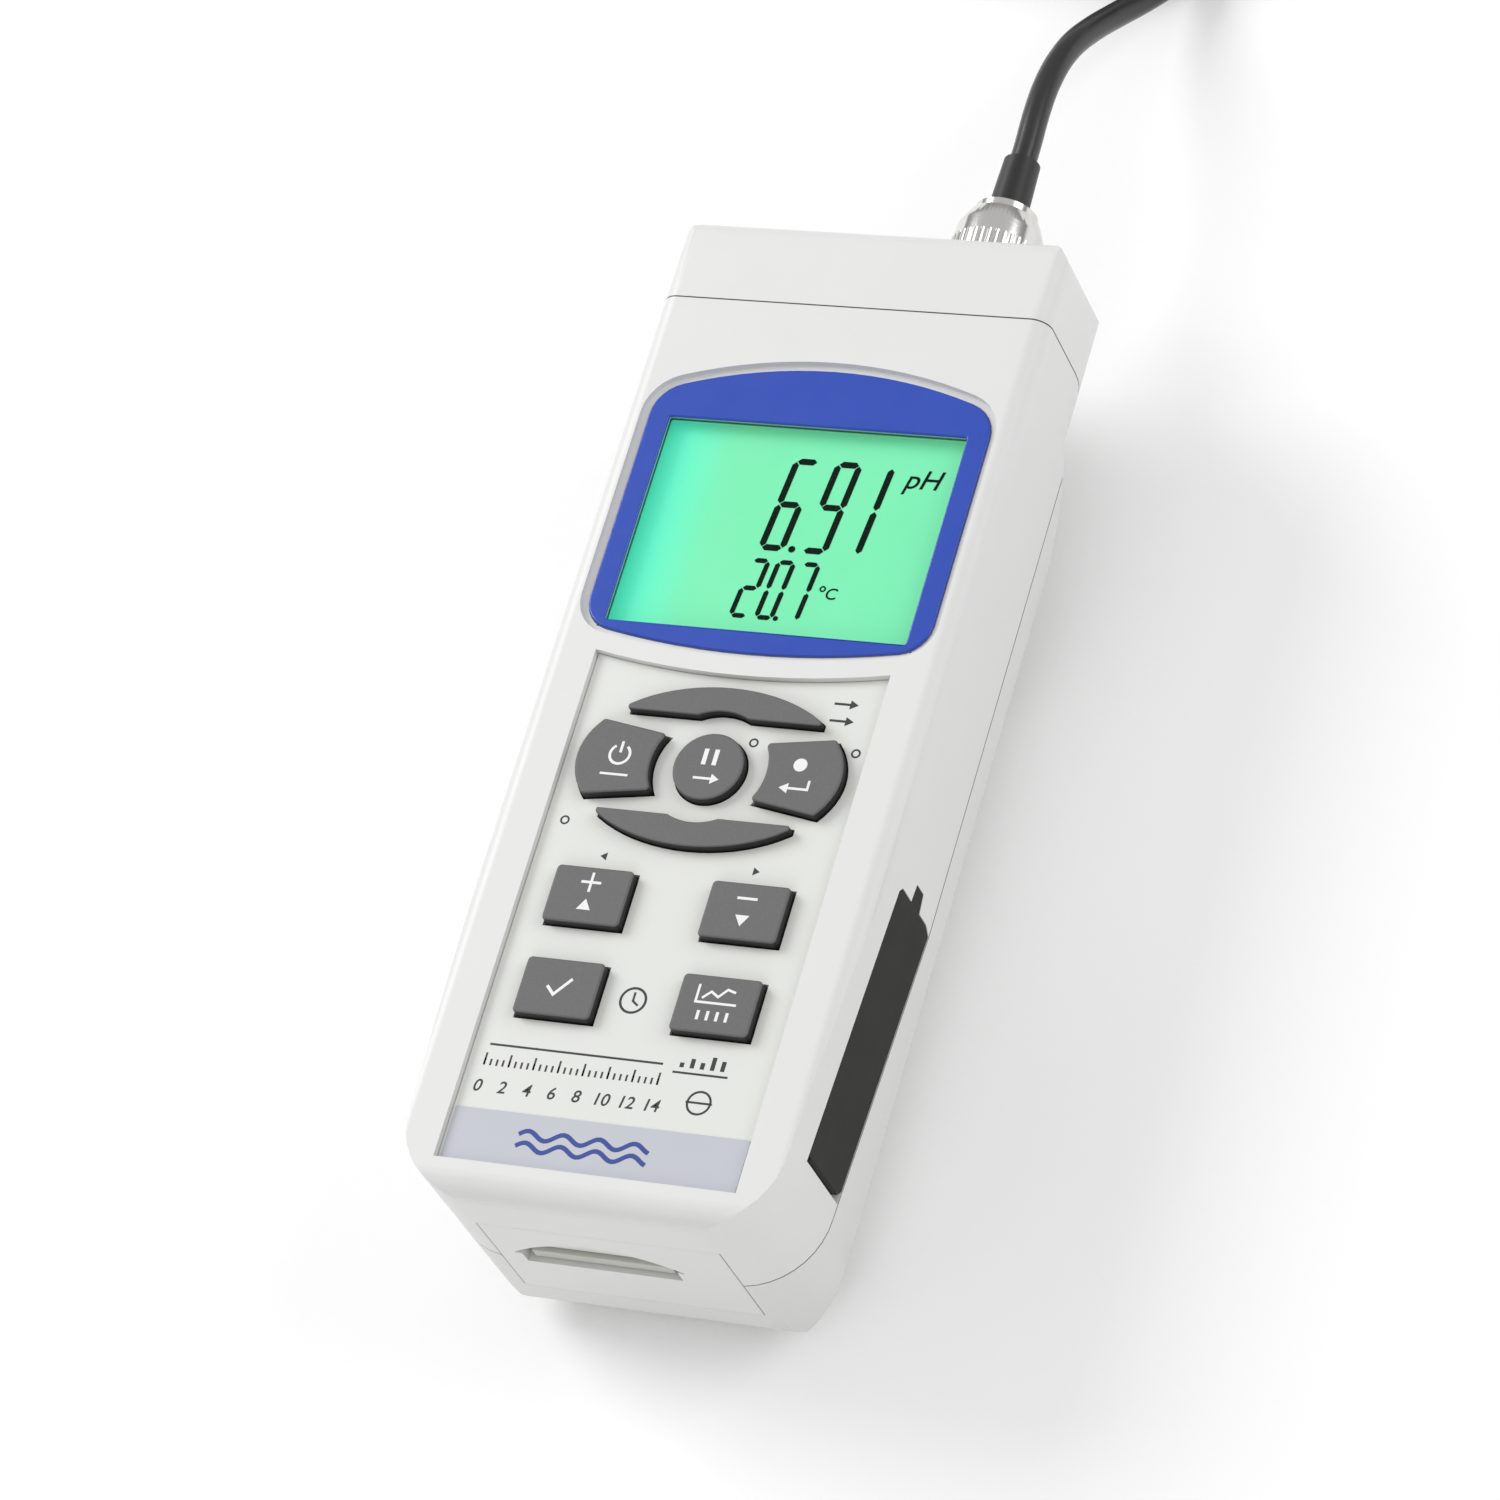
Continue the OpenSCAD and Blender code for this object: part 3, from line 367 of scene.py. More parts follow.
green_display = lit_green()
blue_frame = printed_blue()
clear_pane = clear("clear_pane", 0.035, (0.02, 0.022, 0.022))
bulb_glass = clear("bulb_glass", 0.35, Coat_Weight=1.0)
segment_ink = moulded("segment_ink", (0.001, 0.010, 0.004), 0.5, spread=0.1, relief=0.000001, Specular_IOR_Level=0.05)
print("display", round((glass_high.x - glass_low.x) / MM, 1), "mm wide, face at", round(lcd_z / MM, 2))


# %% [markdown]
# ## Printed film
# The keypad face and the strip below it are screen-printed polyester film. It has a fine pebble and
# an even satin gloss. The inks on it are opaque, a hair thicker than the film's own texture, so they
# are given real thickness and only need their own quiet finish.

# %% Printed film and inks
def film(name, colour, warm):
    finish = Finish(name, colour, 0.4, Coat_Weight=0.1)
    finish.set("Base Color", finish.mix(finish.noise(0.02, 3.0), colour, warm))
    finish.set("Roughness", finish.noise(0.005, 2.0) * 0.1 + 0.36)
    finish.bump(finish.noise(0.00022, 2.0), 0.000006)
    return finish


panel_film = film("panel_film", (0.70, 0.71, 0.68), (0.685, 0.695, 0.665))
strip_film = film("strip_film", (0.48, 0.49, 0.545), (0.51, 0.52, 0.575))
white_ink = moulded("white_ink", (0.80, 0.80, 0.80), 0.5, spread=0.06, relief=0.000003)
grey_ink = moulded("grey_ink", (0.018, 0.019, 0.020), 0.5, spread=0.15, relief=0.000003)
blue_ink = moulded("blue_ink", (0.012, 0.045, 0.27), 0.45, spread=0.1, relief=0.000003)
print("films and inks ready")


# %% [markdown]
# ## Hidden and far pieces
# Boards are green solder mask with copper tracks under it: a mask of thin stripes in two directions,
# switched by cells. Cells wear a dark sleeve with a copper-coloured end. The storage bottle is cloudy
# polythene, and the electrode tube is dark blue epoxy with a polished surface.

# %% Boards, cells, electrode
def circuit_board():
    finish = Finish("circuit_board", (0.012, 0.13, 0.045), 0.32, Coat_Weight=0.3)
    cells = finish.node("TexVoronoi", None, {"Vector": finish.place(), "Scale": 110.0}, out=1)
    pick = finish.node("SeparateColor", None, [cells], out=0)
    across = (finish.along("X") * 4200).wave() > 0.3
    down = (finish.along("Y") * 4200).wave() > 0.3
    tracks = across * (pick > 0.55) + down * (pick < 0.4)
    finish.set("Base Color", finish.mix(tracks, (0.010, 0.105, 0.036), (0.022, 0.21, 0.075)))
    finish.bump(tracks, 0.00003)
    return finish


def cell_sleeve():
    finish = Finish("cell_sleeve", (0.012, 0.012, 0.014), 0.28, Coat_Weight=0.4)
    y = finish.along("Y")
    low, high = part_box("battery_cells")
    half = (high.y - low.y) / 2
    middle = (low.y + high.y) / 2
    folded = (y - middle).size()
    band = finish.step(folded, half * 0.72, half * 0.725) * finish.step(folded, half * 0.965, half * 0.97, 1.0, 0.0)
    finish.set("Base Color", finish.mix(band, (0.012, 0.012, 0.014), (0.55, 0.22, 0.06)))
    finish.set("Roughness", finish.noise(0.004, 3.0) * 0.1 + 0.24)
    finish.bump(finish.noise(0.002, 2.0), 0.00001)
    return finish


board_mask = circuit_board()
sleeve = cell_sleeve()
card_plastic = moulded("card_plastic", (0.50, 0.51, 0.47), 0.4)
epoxy = moulded("epoxy", (0.012, 0.016, 0.045), 0.16, 0.004, 0.00002, 0.15, Coat_Weight=0.6)
bottle_plastic = moulded("bottle_plastic", (0.80, 0.83, 0.84), 0.38, 0.002, 0.00002, Subsurface_Weight=0.15)
print("materials:", len(bpy.data.materials))


# %% [markdown]
# ## Making a piece
# Every piece made here ends the same way: a plain mesh at the origin, a finish, a ride on a body and,
# where it stands for an engineering node, that node hidden. One function does that, so no step is
# forgotten. Smooth shading stops at real corners, and weighted normals keep the flats flat.

# %% Piece helpers
def linked(name, mesh):
    piece = bpy.data.objects.new(name, mesh)
    bpy.context.scene.collection.objects.link(piece)
    return piece


def settled(piece):
    """The piece with its modifiers turned into plain mesh."""
    graph = bpy.context.evaluated_depsgraph_get()
    mesh = bpy.data.meshes.new_from_object(piece.evaluated_get(graph))
    old = piece.data
    piece.modifiers.clear()
    piece.data = mesh
    if old.users == 0:
        bpy.data.meshes.remove(old)
    return piece


def shaded(piece, corner=35):
    """Smooth over curves, crisp at corners sharper than the angle given."""
    piece.data.shade_smooth()
    piece.data.set_sharp_from_angle(angle=math.radians(corner))
    weigh = piece.modifiers.new("weigh", "WEIGHTED_NORMAL")
    weigh.keep_sharp = True
    return settled(piece)


def fitted(piece, finish, body, slot, *stands_for):
    piece.data.materials.clear()
    piece.data.materials.append(finish.material)
    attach(piece, body)
    if stands_for:
        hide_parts(*stands_for)
    return piece


def from_bmesh(name, shape):
    bmesh.ops.recalc_face_normals(shape, faces=shape.faces)
    mesh = bpy.data.meshes.new(name)
    shape.to_mesh(mesh)
    shape.free()
    return linked(name, mesh)


print("piece helpers ready")


# %% [markdown]
# ## The lead
# A pH electrode's lead is a 4.5 mm coaxial cable, soft but springy, about a metre long. It leaves the
# boot straight, sags to the bench and is wound in two layers for storage. Its centre line is a chosen
# list of points joined smoothly, and the turns are worked out, so the length comes out of the shape.

# %% Route of the lead
LEAD_R = 2.25 * MM
COIL = Vector((0, 198, 0))
COIL_OUT = 31.5
COIL_IN = 19.7
COIL_LOW = 2.9
COIL_HIGH = 7.5
RUN = [
    (13.4, 108, 27.5), (13.4, 112, 27.5), (13.2, 118, 27.4), (13.1, 124, 26.7), (13.2, 130, 25),
    (13.5, 136, 22), (14.2, 142, 17.8), (15.4, 148, 13.2), (17.4, 154, 9), (20, 160, 5.8), (23, 166, 3.8),
    (26, 172, 3), (28.6, 178, 2.9), (30.4, 184, 2.9), (31.3, 191, 2.9),
]
TAIL = [
    (8, 166.8, 7.4), (16, 167.8, 7.4), (22, 169.4, 7.9), (28, 172, 8.2), (33.4, 175.8, 7.4),
    (37.8, 180.6, 6), (40.8, 186, 5.4), (42.5, 191.6, 6.2), (43.2, 197, 7.4), (43.4, 202, 8),
]


def coil_turns():
    """Round and inwards on the bench, up one layer, then round and outwards over it."""
    points = []
    turns = 2.375
    per_turn = 18
    steps = int(turns * per_turn)
    for k in range(steps + 1):
        share = k / steps
        angle = 2 * math.pi * turns * share
        radius = COIL_OUT + (COIL_IN - COIL_OUT) * share
        points.append((angle, radius, COIL_LOW))
    rise = 6
    turn_at = 2 * math.pi * turns
    for k in range(1, rise):
        lift = (1 - math.cos(math.pi * k / rise)) / 2
        points.append((turn_at + 2 * math.pi * k / per_turn, COIL_IN, COIL_LOW + (COIL_HIGH - COIL_LOW) * lift))
    start = turn_at + 2 * math.pi * rise / per_turn
    end = 2 * math.pi * 2 * turns
    steps = int((end - start) / (2 * math.pi) * per_turn)
    for k in range(steps + 1):
        share = k / steps
        points.append((start + (end - start) * share, COIL_IN + (COIL_OUT - COIL_IN) * share, COIL_HIGH))
    return [COIL + Vector((r * math.cos(a), r * math.sin(a), z)) for a, r, z in points]


def smooth_line(points, steps=6):
    """A curve through every point, each stretch bending with its neighbours."""
    ends = [2 * points[0] - points[1], *points, 2 * points[-1] - points[-2]]
    line = []
    for a, b, c, d in zip(ends, ends[1:], ends[2:], ends[3:]):
        for k in range(steps):
            t = k / steps
            line.append(0.5 * (2 * b + (c - a) * t + (2 * a - 5 * b + 4 * c - d) * t * t
                               + (3 * b - 3 * c + d - a) * t ** 3))
    return [*line, points[-1]]


def lead_line():
    corners = [Vector(p) for p in RUN] + coil_turns() + [Vector(p) for p in TAIL]
    return [p * MM for p in smooth_line(corners)]


lead_points = lead_line()
lead_length = sum((b - a).length for a, b in zip(lead_points, lead_points[1:]))
print("lead:", len(lead_points), "points,", round(lead_length, 3), "m")


# %% [markdown]
# The jacket is soft PVC with a satin skin. A curve with a round bevel keeps the diameter exact all the
# way, and the finish reads fine noise, because such a jacket shows scuffs rather than a pattern.

# %% Lead
lead_jacket = moulded("lead_jacket", (0.014, 0.014, 0.015), 0.36, 0.0012, 0.00002, 0.2, Coat_Weight=0.15)


def lead_curve():
    curve = bpy.data.curves.new("lead", "CURVE")
    curve.dimensions = "3D"
    curve.bevel_depth = LEAD_R
    curve.bevel_resolution = 5
    curve.use_fill_caps = True
    spline = curve.splines.new("POLY")
    spline.points.add(len(lead_points) - 1)
    for point, place in zip(spline.points, lead_points):
        point.co = (*place, 1)
    spline.use_smooth = True
    return bpy.data.objects.new("lead", curve)


lead = lead_curve()
bpy.context.scene.collection.objects.link(lead)
lead.data.materials.append(lead_jacket.material)
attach(lead, "lead")
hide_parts("lead_run", "lead_coil", "lead_tail")


# %% [markdown]
# ## Light and floor
# A pale sweep of paper and three soft boxes: a large one high at the left and behind, which leaves the
# left and upper walls of each recess in shade, a weaker one at the right, and one over the card end.
# A filmic view would grey the white case and wash the blue and green out, so a product picture like
# this one is shown with the standard view: a colour comes out as it was mixed.

# %% Studio
def soft_box(name, place, target, size, power):
    light = bpy.data.lights.new(name, "AREA")
    light.shape = "DISK"
    light.size = size
    light.energy = power
    lamp = bpy.data.objects.new(name, light)
    lamp.location = place
    lamp.rotation_mode = "QUATERNION"
    lamp.rotation_quaternion = (Vector(target) - Vector(place)).to_track_quat("-Z", "Y")
    bpy.context.scene.collection.objects.link(lamp)


def sky():
    """Bright overhead and dim near the bench, so that metal has something dark to reflect."""
    world = bpy.data.worlds.new("studio")
    world.use_nodes = True
    add, link = world.node_tree.nodes.new, world.node_tree.links.new
    rise = add("ShaderNodeSeparateXYZ")
    link(add("ShaderNodeTexCoord").outputs["Generated"], rise.inputs[0])
    shade = add("ShaderNodeMapRange")
    shade.interpolation_type = "SMOOTHSTEP"
    link(rise.outputs["Z"], shade.inputs["Value"])
    for label, value in (("From Max", 0.55), ("To Min", 0.3), ("To Max", 0.65)):
        shade.inputs[label].default_value = value
    link(shade.outputs[0], world.node_tree.nodes["Background"].inputs["Strength"])
    world.node_tree.nodes["Background"].inputs["Color"].default_value = (1, 1, 1, 1)
    return world


def studio():
    soft_box("key_light", (-1.3, 0.5, 1.0), (0, 0, 0), 1.0, 16)
    soft_box("fill_light", (1.3, 0.5, 0.9), (0, 0, 0), 1.2, 8)
    soft_box("end_light", (0.1, -1.4, 0.9), (0, 0, 0), 1.0, 4)
    bpy.context.scene.world = sky()
    bpy.context.scene.view_settings.view_transform = "Standard"
    shape = bmesh.new()
    bmesh.ops.create_grid(shape, x_segments=1, y_segments=1, size=6)
    floor = from_bmesh("floor", shape)
    paper = Finish("paper", (0.96, 0.96, 0.96), 0.9)
    paper.bump(paper.noise(0.001, 2.0), 0.00002)
    floor.data.materials.append(paper.material)


studio()
print("studio lit")


# %% [markdown]
# ## Case shells
# Moulded shells meet at a fine line, and every edge on them has a small radius that catches the light.
# The engineering shells have the right curves but knife edges. A copy is merged, its flat areas are
# dissolved to single faces, and a narrow bevel rounds whatever corner is left.

# %% Softened copies
def rim_of_end(shape):
    """The outer edges of a solid's far end, leaving out the edges of any holes in it."""
    top = max(v.co.y for v in shape.verts)
    ends = [e for e in shape.edges if all(v.co.y > top - 0.01 * MM for v in e.verts)]
    low = min(min(v.co.z for v in e.verts) for e in ends)
    high = max(max(v.co.z for v in e.verts) for e in ends)
    out = max(max(v.co.x for v in e.verts) for e in ends)
    middles = [(e, (e.verts[0].co + e.verts[1].co) / 2) for e in ends]
    return [e for e, m in middles if abs(m.x) > out - 9 * MM or not low + 4 * MM < m.z < high - 4 * MM]


def softened(node, width, finish, body, slot, corner=30, steps=3, end_round=0.0):
    shape = bmesh.new()
    shape.from_mesh(nodes[node].data)
    bmesh.ops.remove_doubles(shape, verts=shape.verts, dist=1e-6)
    bmesh.ops.dissolve_limit(shape, angle_limit=math.radians(0.6), verts=shape.verts, edges=shape.edges)
    if end_round:
        bmesh.ops.bevel(shape, geom=rim_of_end(shape), offset=end_round, segments=6, profile=0.5,
                        affect="EDGES", clamp_overlap=True)
    piece = from_bmesh(node + "_finished", shape)
    soften = piece.modifiers.new("soften", "BEVEL")
    soften.width = width
    soften.segments = steps
    soften.limit_method = "ANGLE"
    soften.angle_limit = math.radians(corner)
    soften.miter_outer = "MITER_ARC"
    settled(piece)
    return fitted(shaded(piece), finish, body, slot, node)


for node, width, end_round, finish, slot in [
    ("front_shell", 0.35, 0, case_plastic, "case"),
    ("socket_cap", 0.3, 1.6, case_plastic, "case"),
    ("card_end_plate", 0.2, 0, end_plastic, "case"),
    ("rear_shell", 0.3, 0, rear_plastic, "case_rear"),
    ("display_surround", 0.3, 0, blue_frame, "surround_blue"),
]:
    made = softened(node, width * MM, finish, "case", slot, end_round=end_round * MM)
    print(node, len(made.data.polygons), "faces")


# %% [markdown]
# ## Finish the frame's own pieces
# Pieces that are already the right shape keep their engineering mesh and get a finish.

# %% Finishes on nodes
def dressed(finish, *names):
    for name in names:
        slots = nodes[name].data.materials
        slots.clear()
        slots.append(finish.material)


dressed(clear_pane, "display_pane")
dressed(green_display, "display_glass")
dressed(white_plastic, "display_light", "display_holder")
dressed(panel_film, "keypad_plate")
dressed(strip_film, "label_strip")
dressed(mat_rubber, "key_mat")
dressed(board_mask, "key_board", "main_board")
dressed(chip_plastic, "board_parts", "buzzer")
dressed(black_plastic, "temperature_jack", "serial_jack", "power_jack")
dressed(nickel, "board_spacers", "electrode_socket", "socket_nut", "plug_body")
dressed(gold, "socket_contact", "plug_pin")
dressed(red_plastic, "reset_button")
dressed(steel, "card_socket", "door_screws", "case_screws", "stand_pin")
dressed(spring_steel, "battery_contacts")
dressed(sleeve, "battery_cells")
dressed(brass, "tripod_insert")
dressed(boot_rubber, "plug_boot", "probe_boot")
dressed(tie_plastic, "coil_tie")
dressed(grip_plastic, "probe_head")
dressed(epoxy, "probe_tube")
dressed(bulb_glass, "probe_bulb")
dressed(bottle_plastic, "probe_bottle")
print("dressed", len(nodes), "nodes")

for node, width, finish, body, slot in [
    ("battery_door", 0.3, door_plastic, "door", "case_rear"),
    ("kickstand", 0.3, door_plastic, "stand", "case_rear"),
    ("side_flap", 0.3, flap_rubber, "flap", "flap_rubber"),
    ("memory_card", 0.2, card_plastic, "card", "card"),
    ("plug_collar", 0.3, nickel, "collar", "nickel"),
]:
    softened(node, width * MM, finish, body, slot)


# %% [markdown]
# ## Keys
# A moulded key has upright sides, a rounded shoulder and a flat top. A bevel on the engineering key
# would stop at its thin lip, so the top's outline is read off it instead, its corners are rounded,
# and rings of that outline are stacked: straight up, then inwards round the shoulder.

# %% Keys
def top_outline(node):
    """Corners of a node's highest face, in order."""
    shape = bmesh.new()
    shape.from_mesh(nodes[node].data)
    bmesh.ops.remove_doubles(shape, verts=shape.verts, dist=1e-6)
    bmesh.ops.dissolve_limit(shape, angle_limit=math.radians(0.6), verts=shape.verts, edges=shape.edges)
    top = max((f for f in shape.faces if f.normal.z > 0.9), key=lambda f: f.calc_center_median().z)
    outline = [Vector((v.co.x, v.co.y)) for v in top.verts]
    shape.free()
    return outline


def rounded(outline, radius, steps=5):
    """The outline with every sharp corner turned through an arc."""
    points = []
    for before, corner, after in zip(outline[-1:] + outline[:-1], outline, outline[1:] + outline[:1]):
        into = (corner - before).normalized()
        out = (after - corner).normalized()
        turn = math.atan2(into.cross(out), into.dot(out))
        if abs(turn) < math.radians(25):
            points.append(corner)
            continue
        reach = min(radius * math.tan(abs(turn) / 2), (corner - before).length * 0.45,
                    (after - corner).length * 0.45)
        bend = reach / math.tan(abs(turn) / 2)
        side = Vector((-into.y, into.x)) * math.copysign(1, turn)
        centre = corner - into * reach + side * bend
        for k in range(steps + 1):
            points.append(centre + Matrix.Rotation(turn * k / steps, 2) @ (-side * bend))
    return points


def thinned(outline, clear):
    """The outline without the points of its gentle curves that lie close to a sharp corner."""
    turns = []
    for before, here, after in zip(outline[-1:] + outline[:-1], outline, outline[1:] + outline[:1]):
        turns.append(abs((here - before).angle(after - here)) > math.radians(25))
    corners = [point for point, sharp in zip(outline, turns) if sharp]
    return [point for point, sharp in zip(outline, turns)
            if sharp or all((point - corner).length > clear for corner in corners)]


def drawn_in(outline, distance):
    """The outline moved inwards; it runs anticlockwise."""
    points = []
    for before, here, after in zip(outline[-1:] + outline[:-1], outline, outline[1:] + outline[:1]):
        into = (here - before).normalized()
        out = (after - here).normalized()
        a = Vector((-into.y, into.x))
        b = Vector((-out.y, out.x))
        points.append(here + (a + b) * distance / max(0.4, 1 + a.dot(b)))
    return points


def stacked(name, rings):
    """A closed solid through rings of equally many points."""
    shape = bmesh.new()
    loops = [[shape.verts.new(point) for point in ring] for ring in rings]
    for low, high in zip(loops, loops[1:]):
        count = len(low)
        for k in range(count):
            shape.faces.new((low[k], low[(k + 1) % count], high[(k + 1) % count], high[k]))
    shape.faces.new(reversed(loops[0]))
    shape.faces.new(loops[-1])
    bmesh.ops.remove_doubles(shape, verts=shape.verts, dist=1e-6)
    return from_bmesh(name, shape)


def moulded_key(node, corner, shoulder):
    low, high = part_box(node)
    outline = rounded(thinned(top_outline(node), 1.8 * MM), corner)
    rings = [[(p.x, p.y, low.z) for p in outline]]
    for k in range(6):
        angle = math.pi / 2 * k / 5
        ring = drawn_in(outline, shoulder * (1 - math.cos(angle)))
        rings.append([(p.x, p.y, high.z - shoulder * (1 - math.sin(angle))) for p in ring])
    return shaded(stacked(node + "_finished", rings))


key_nodes = [name for name in nodes if name.startswith("key_") and name not in ("key_mat", "key_board")]
for node in key_nodes:
    corner, shoulder = (0.3, 0.2) if "arc" in node else (0.8, 0.4)
    key = moulded_key(node, corner * MM, shoulder * MM)
    fitted(key, key_rubber, node + "_body", "key_rubber", node)
print("keys:", ", ".join(key_nodes))


# %% [markdown]
# ## Printing
# Key marks and panel marks are screen ink, a few hundredths of a millimetre thick. They could be
# painted by a mask in the material, but small marks then depend on the material's resolution. Thin
# solids stay sharp. Lines are ribbons with mitred joints, and filled marks are plain outlines. The
# marks are plain signs: power, pause, enter, arrows, a clock, a chart and a scale from 0 to 14.

# %% Ink
INK = 0.04 * MM


class Ink:
    """Gathers flat marks at one height and makes them one thin mesh. Sizes are in millimetres."""

    def __init__(self, x, y, z):
        self.shape = bmesh.new()
        self.at = Vector((x, y, z))
        self.marks = 0

    def fill(self, points):
        self.marks += 1
        lift = self.marks % 4 * 0.003 * MM
        ring = [self.at + Vector((x * MM, y * MM, lift - INK / 2)) for x, y in points]
        low = [self.shape.verts.new(p) for p in ring]
        high = [self.shape.verts.new(p + Vector((0, 0, INK))) for p in ring]
        count = len(ring)
        for k in range(count):
            self.shape.faces.new((low[k], low[(k + 1) % count], high[(k + 1) % count], high[k]))
        self.shape.faces.new(list(reversed(low)))
        self.shape.faces.new(high)

    def line(self, points, width, closed=False):
        points = [Vector(p) for p in points]
        count = len(points)
        left, right = [], []
        for k, here in enumerate(points):
            before = points[k - 1] if k or closed else None
            after = points[(k + 1) % count] if k < count - 1 or closed else None
            into = (here - before).normalized() if before is not None else (after - here).normalized()
            out = (after - here).normalized() if after is not None else into
            a = Vector((-into.y, into.x))
            b = Vector((-out.y, out.x))
            offset = (a + b) * (width / 2) / max(0.3, 1 + a.dot(b))
            left.append(here + offset)
            right.append(here - offset)
        if not closed:
            self.fill([*right, *reversed(left)])
            return
        for k in range(count):
            n = (k + 1) % count
            self.fill([right[k], right[n], left[n], left[k]])

    def arc(self, x, y, radius, start, end, width):
        count = max(6, int(abs(end - start) / 12))
        angles = [math.radians(start + (end - start) * k / count) for k in range(count + 1)]
        self.line([(x + radius * math.cos(a), y + radius * math.sin(a)) for a in angles], width)

    def disc(self, x, y, radius):
        self.fill([(x + radius * math.cos(math.tau * k / 24), y + radius * math.sin(math.tau * k / 24))
                   for k in range(24)])

    def write(self, text, x, y, height, lean=0.0, weight=0.0):
        """Plain figures, drawn by the built-in face, with their middle at x and y."""
        curve = bpy.data.curves.new("figures", "FONT")
        curve.body = text
        curve.size = height * 1.38
        curve.shear = lean
        curve.offset = weight
        curve.align_x = "CENTER"
        curve.align_y = "CENTER"
        curve.extrude = INK / MM / 2
        holder = bpy.data.objects.new("figures", curve)
        bpy.context.scene.collection.objects.link(holder)
        mesh = bpy.data.meshes.new_from_object(holder.evaluated_get(bpy.context.evaluated_depsgraph_get()))
        mesh.transform(Matrix.Translation(self.at + Vector((x, y, 0)) * MM) @ Matrix.Scale(MM, 4))
        self.shape.from_mesh(mesh)
        bpy.data.objects.remove(holder)

    def dry(self, name, finish, body, slot):
        bmesh.ops.remove_doubles(self.shape, verts=self.shape.verts, dist=1e-7)
        return fitted(from_bmesh(name, self.shape), finish, body, slot)


def on_key(node):
    low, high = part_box(node)
    return Ink((low.x + high.x) / 2, (low.y + high.y) / 2, high.z)


print("ink is", INK / MM, "mm thick")


# %% Marks on the keys
def power_mark(ink):
    ink.arc(0, 0.6, 1.7, 125, 415, 0.45)
    ink.line([(0, 0.9), (0, 2.9)], 0.45)
    ink.line([(-2.4, -3), (2.4, -3)], 0.4)


def hold_mark(ink):
    for x in (-0.9, 0.9):
        ink.line([(x, 0.2), (x, 3)], 0.75)
    ink.line([(-1.9, -2.2), (1.3, -2.2)], 0.42)
    ink.fill([(1.1, -1.3), (2.5, -2.2), (1.1, -3.1)])


def record_mark(ink):
    ink.disc(0, 1.7, 1.15)
    ink.line([(2.3, -0.9), (2.3, -2.5), (-1.2, -2.5)], 0.42)
    ink.fill([(-1, -1.6), (-2.5, -2.5), (-1, -3.4)])


def up_mark(ink):
    ink.line([(-1.7, 2.2), (1.7, 2.2)], 0.45)
    ink.line([(0, 0.5), (0, 3.9)], 0.45)
    ink.fill([(-1.2, -2.6), (1.2, -2.6), (0, -0.7)])


def down_mark(ink):
    ink.line([(-1.7, 2.2), (1.7, 2.2)], 0.45)
    ink.fill([(-1.2, -0.7), (0, -2.6), (1.2, -0.7)])


def set_mark(ink):
    ink.line([(-1.9, 0.1), (-0.5, -1.3), (2, 1.6)], 0.5)


def logger_mark(ink):
    ink.line([(-3.4, 3.2), (-3.4, 0.2), (3.4, 0.2)], 0.4)
    ink.line([(-2.5, 0.9), (-1.2, 2.1), (0.1, 1.3), (1.4, 2.7), (2.8, 2.3)], 0.4)
    for x in (-2.4, -0.8, 0.8, 2.4):
        ink.line([(x, -1.2), (x, -2.8)], 0.5)


for node, mark in [("key_power", power_mark), ("key_hold", hold_mark), ("key_record", record_mark),
                   ("key_up", up_mark), ("key_down", down_mark), ("key_set", set_mark),
                   ("key_logger", logger_mark)]:
    ink = on_key(node)
    mark(ink)
    ink.dry(node + "_mark", white_ink, node + "_body", "white_plastic")
print("seven key marks printed")

# %% [markdown]
# The panel's own marks sit round the keys in dark grey, with the scale where a title would be. The
# scale's ticks repeat at one step, so a Geometry Nodes tree lays them: a line of points, a bar on each
# point, made real and given its ink.

# %% Geometry Nodes helpers
def new_tree(name, inputs):
    """A node tree with number inputs: name, kind, value."""
    tree = bpy.data.node_groups.new(name, "GeometryNodeTree")
    for label, kind, value in inputs:
        socket = tree.interface.new_socket(label, in_out="INPUT", socket_type="NodeSocket" + kind)
        if value is not None:
            socket.default_value = value
    tree.interface.new_socket("Geometry", in_out="OUTPUT", socket_type="NodeSocketGeometry")
    return tree


def grow(name, tree, values, place, finish, body, slot, *stands_for):
    """Runs a tree on an empty mesh, moves the result into place and keeps it as a plain piece."""
    piece = linked(name, bpy.data.meshes.new(name))
    run = piece.modifiers.new("grow", "NODES")
    run.node_group = tree
    for item in tree.interface.items_tree:
        if item.in_out == "INPUT" and item.name in values:
            run[item.identifier] = values[item.name]
    settled(piece)
    piece.data.transform(place)
    print(name, len(piece.data.polygons), "faces")
    return fitted(piece, finish, body, slot, *stands_for)


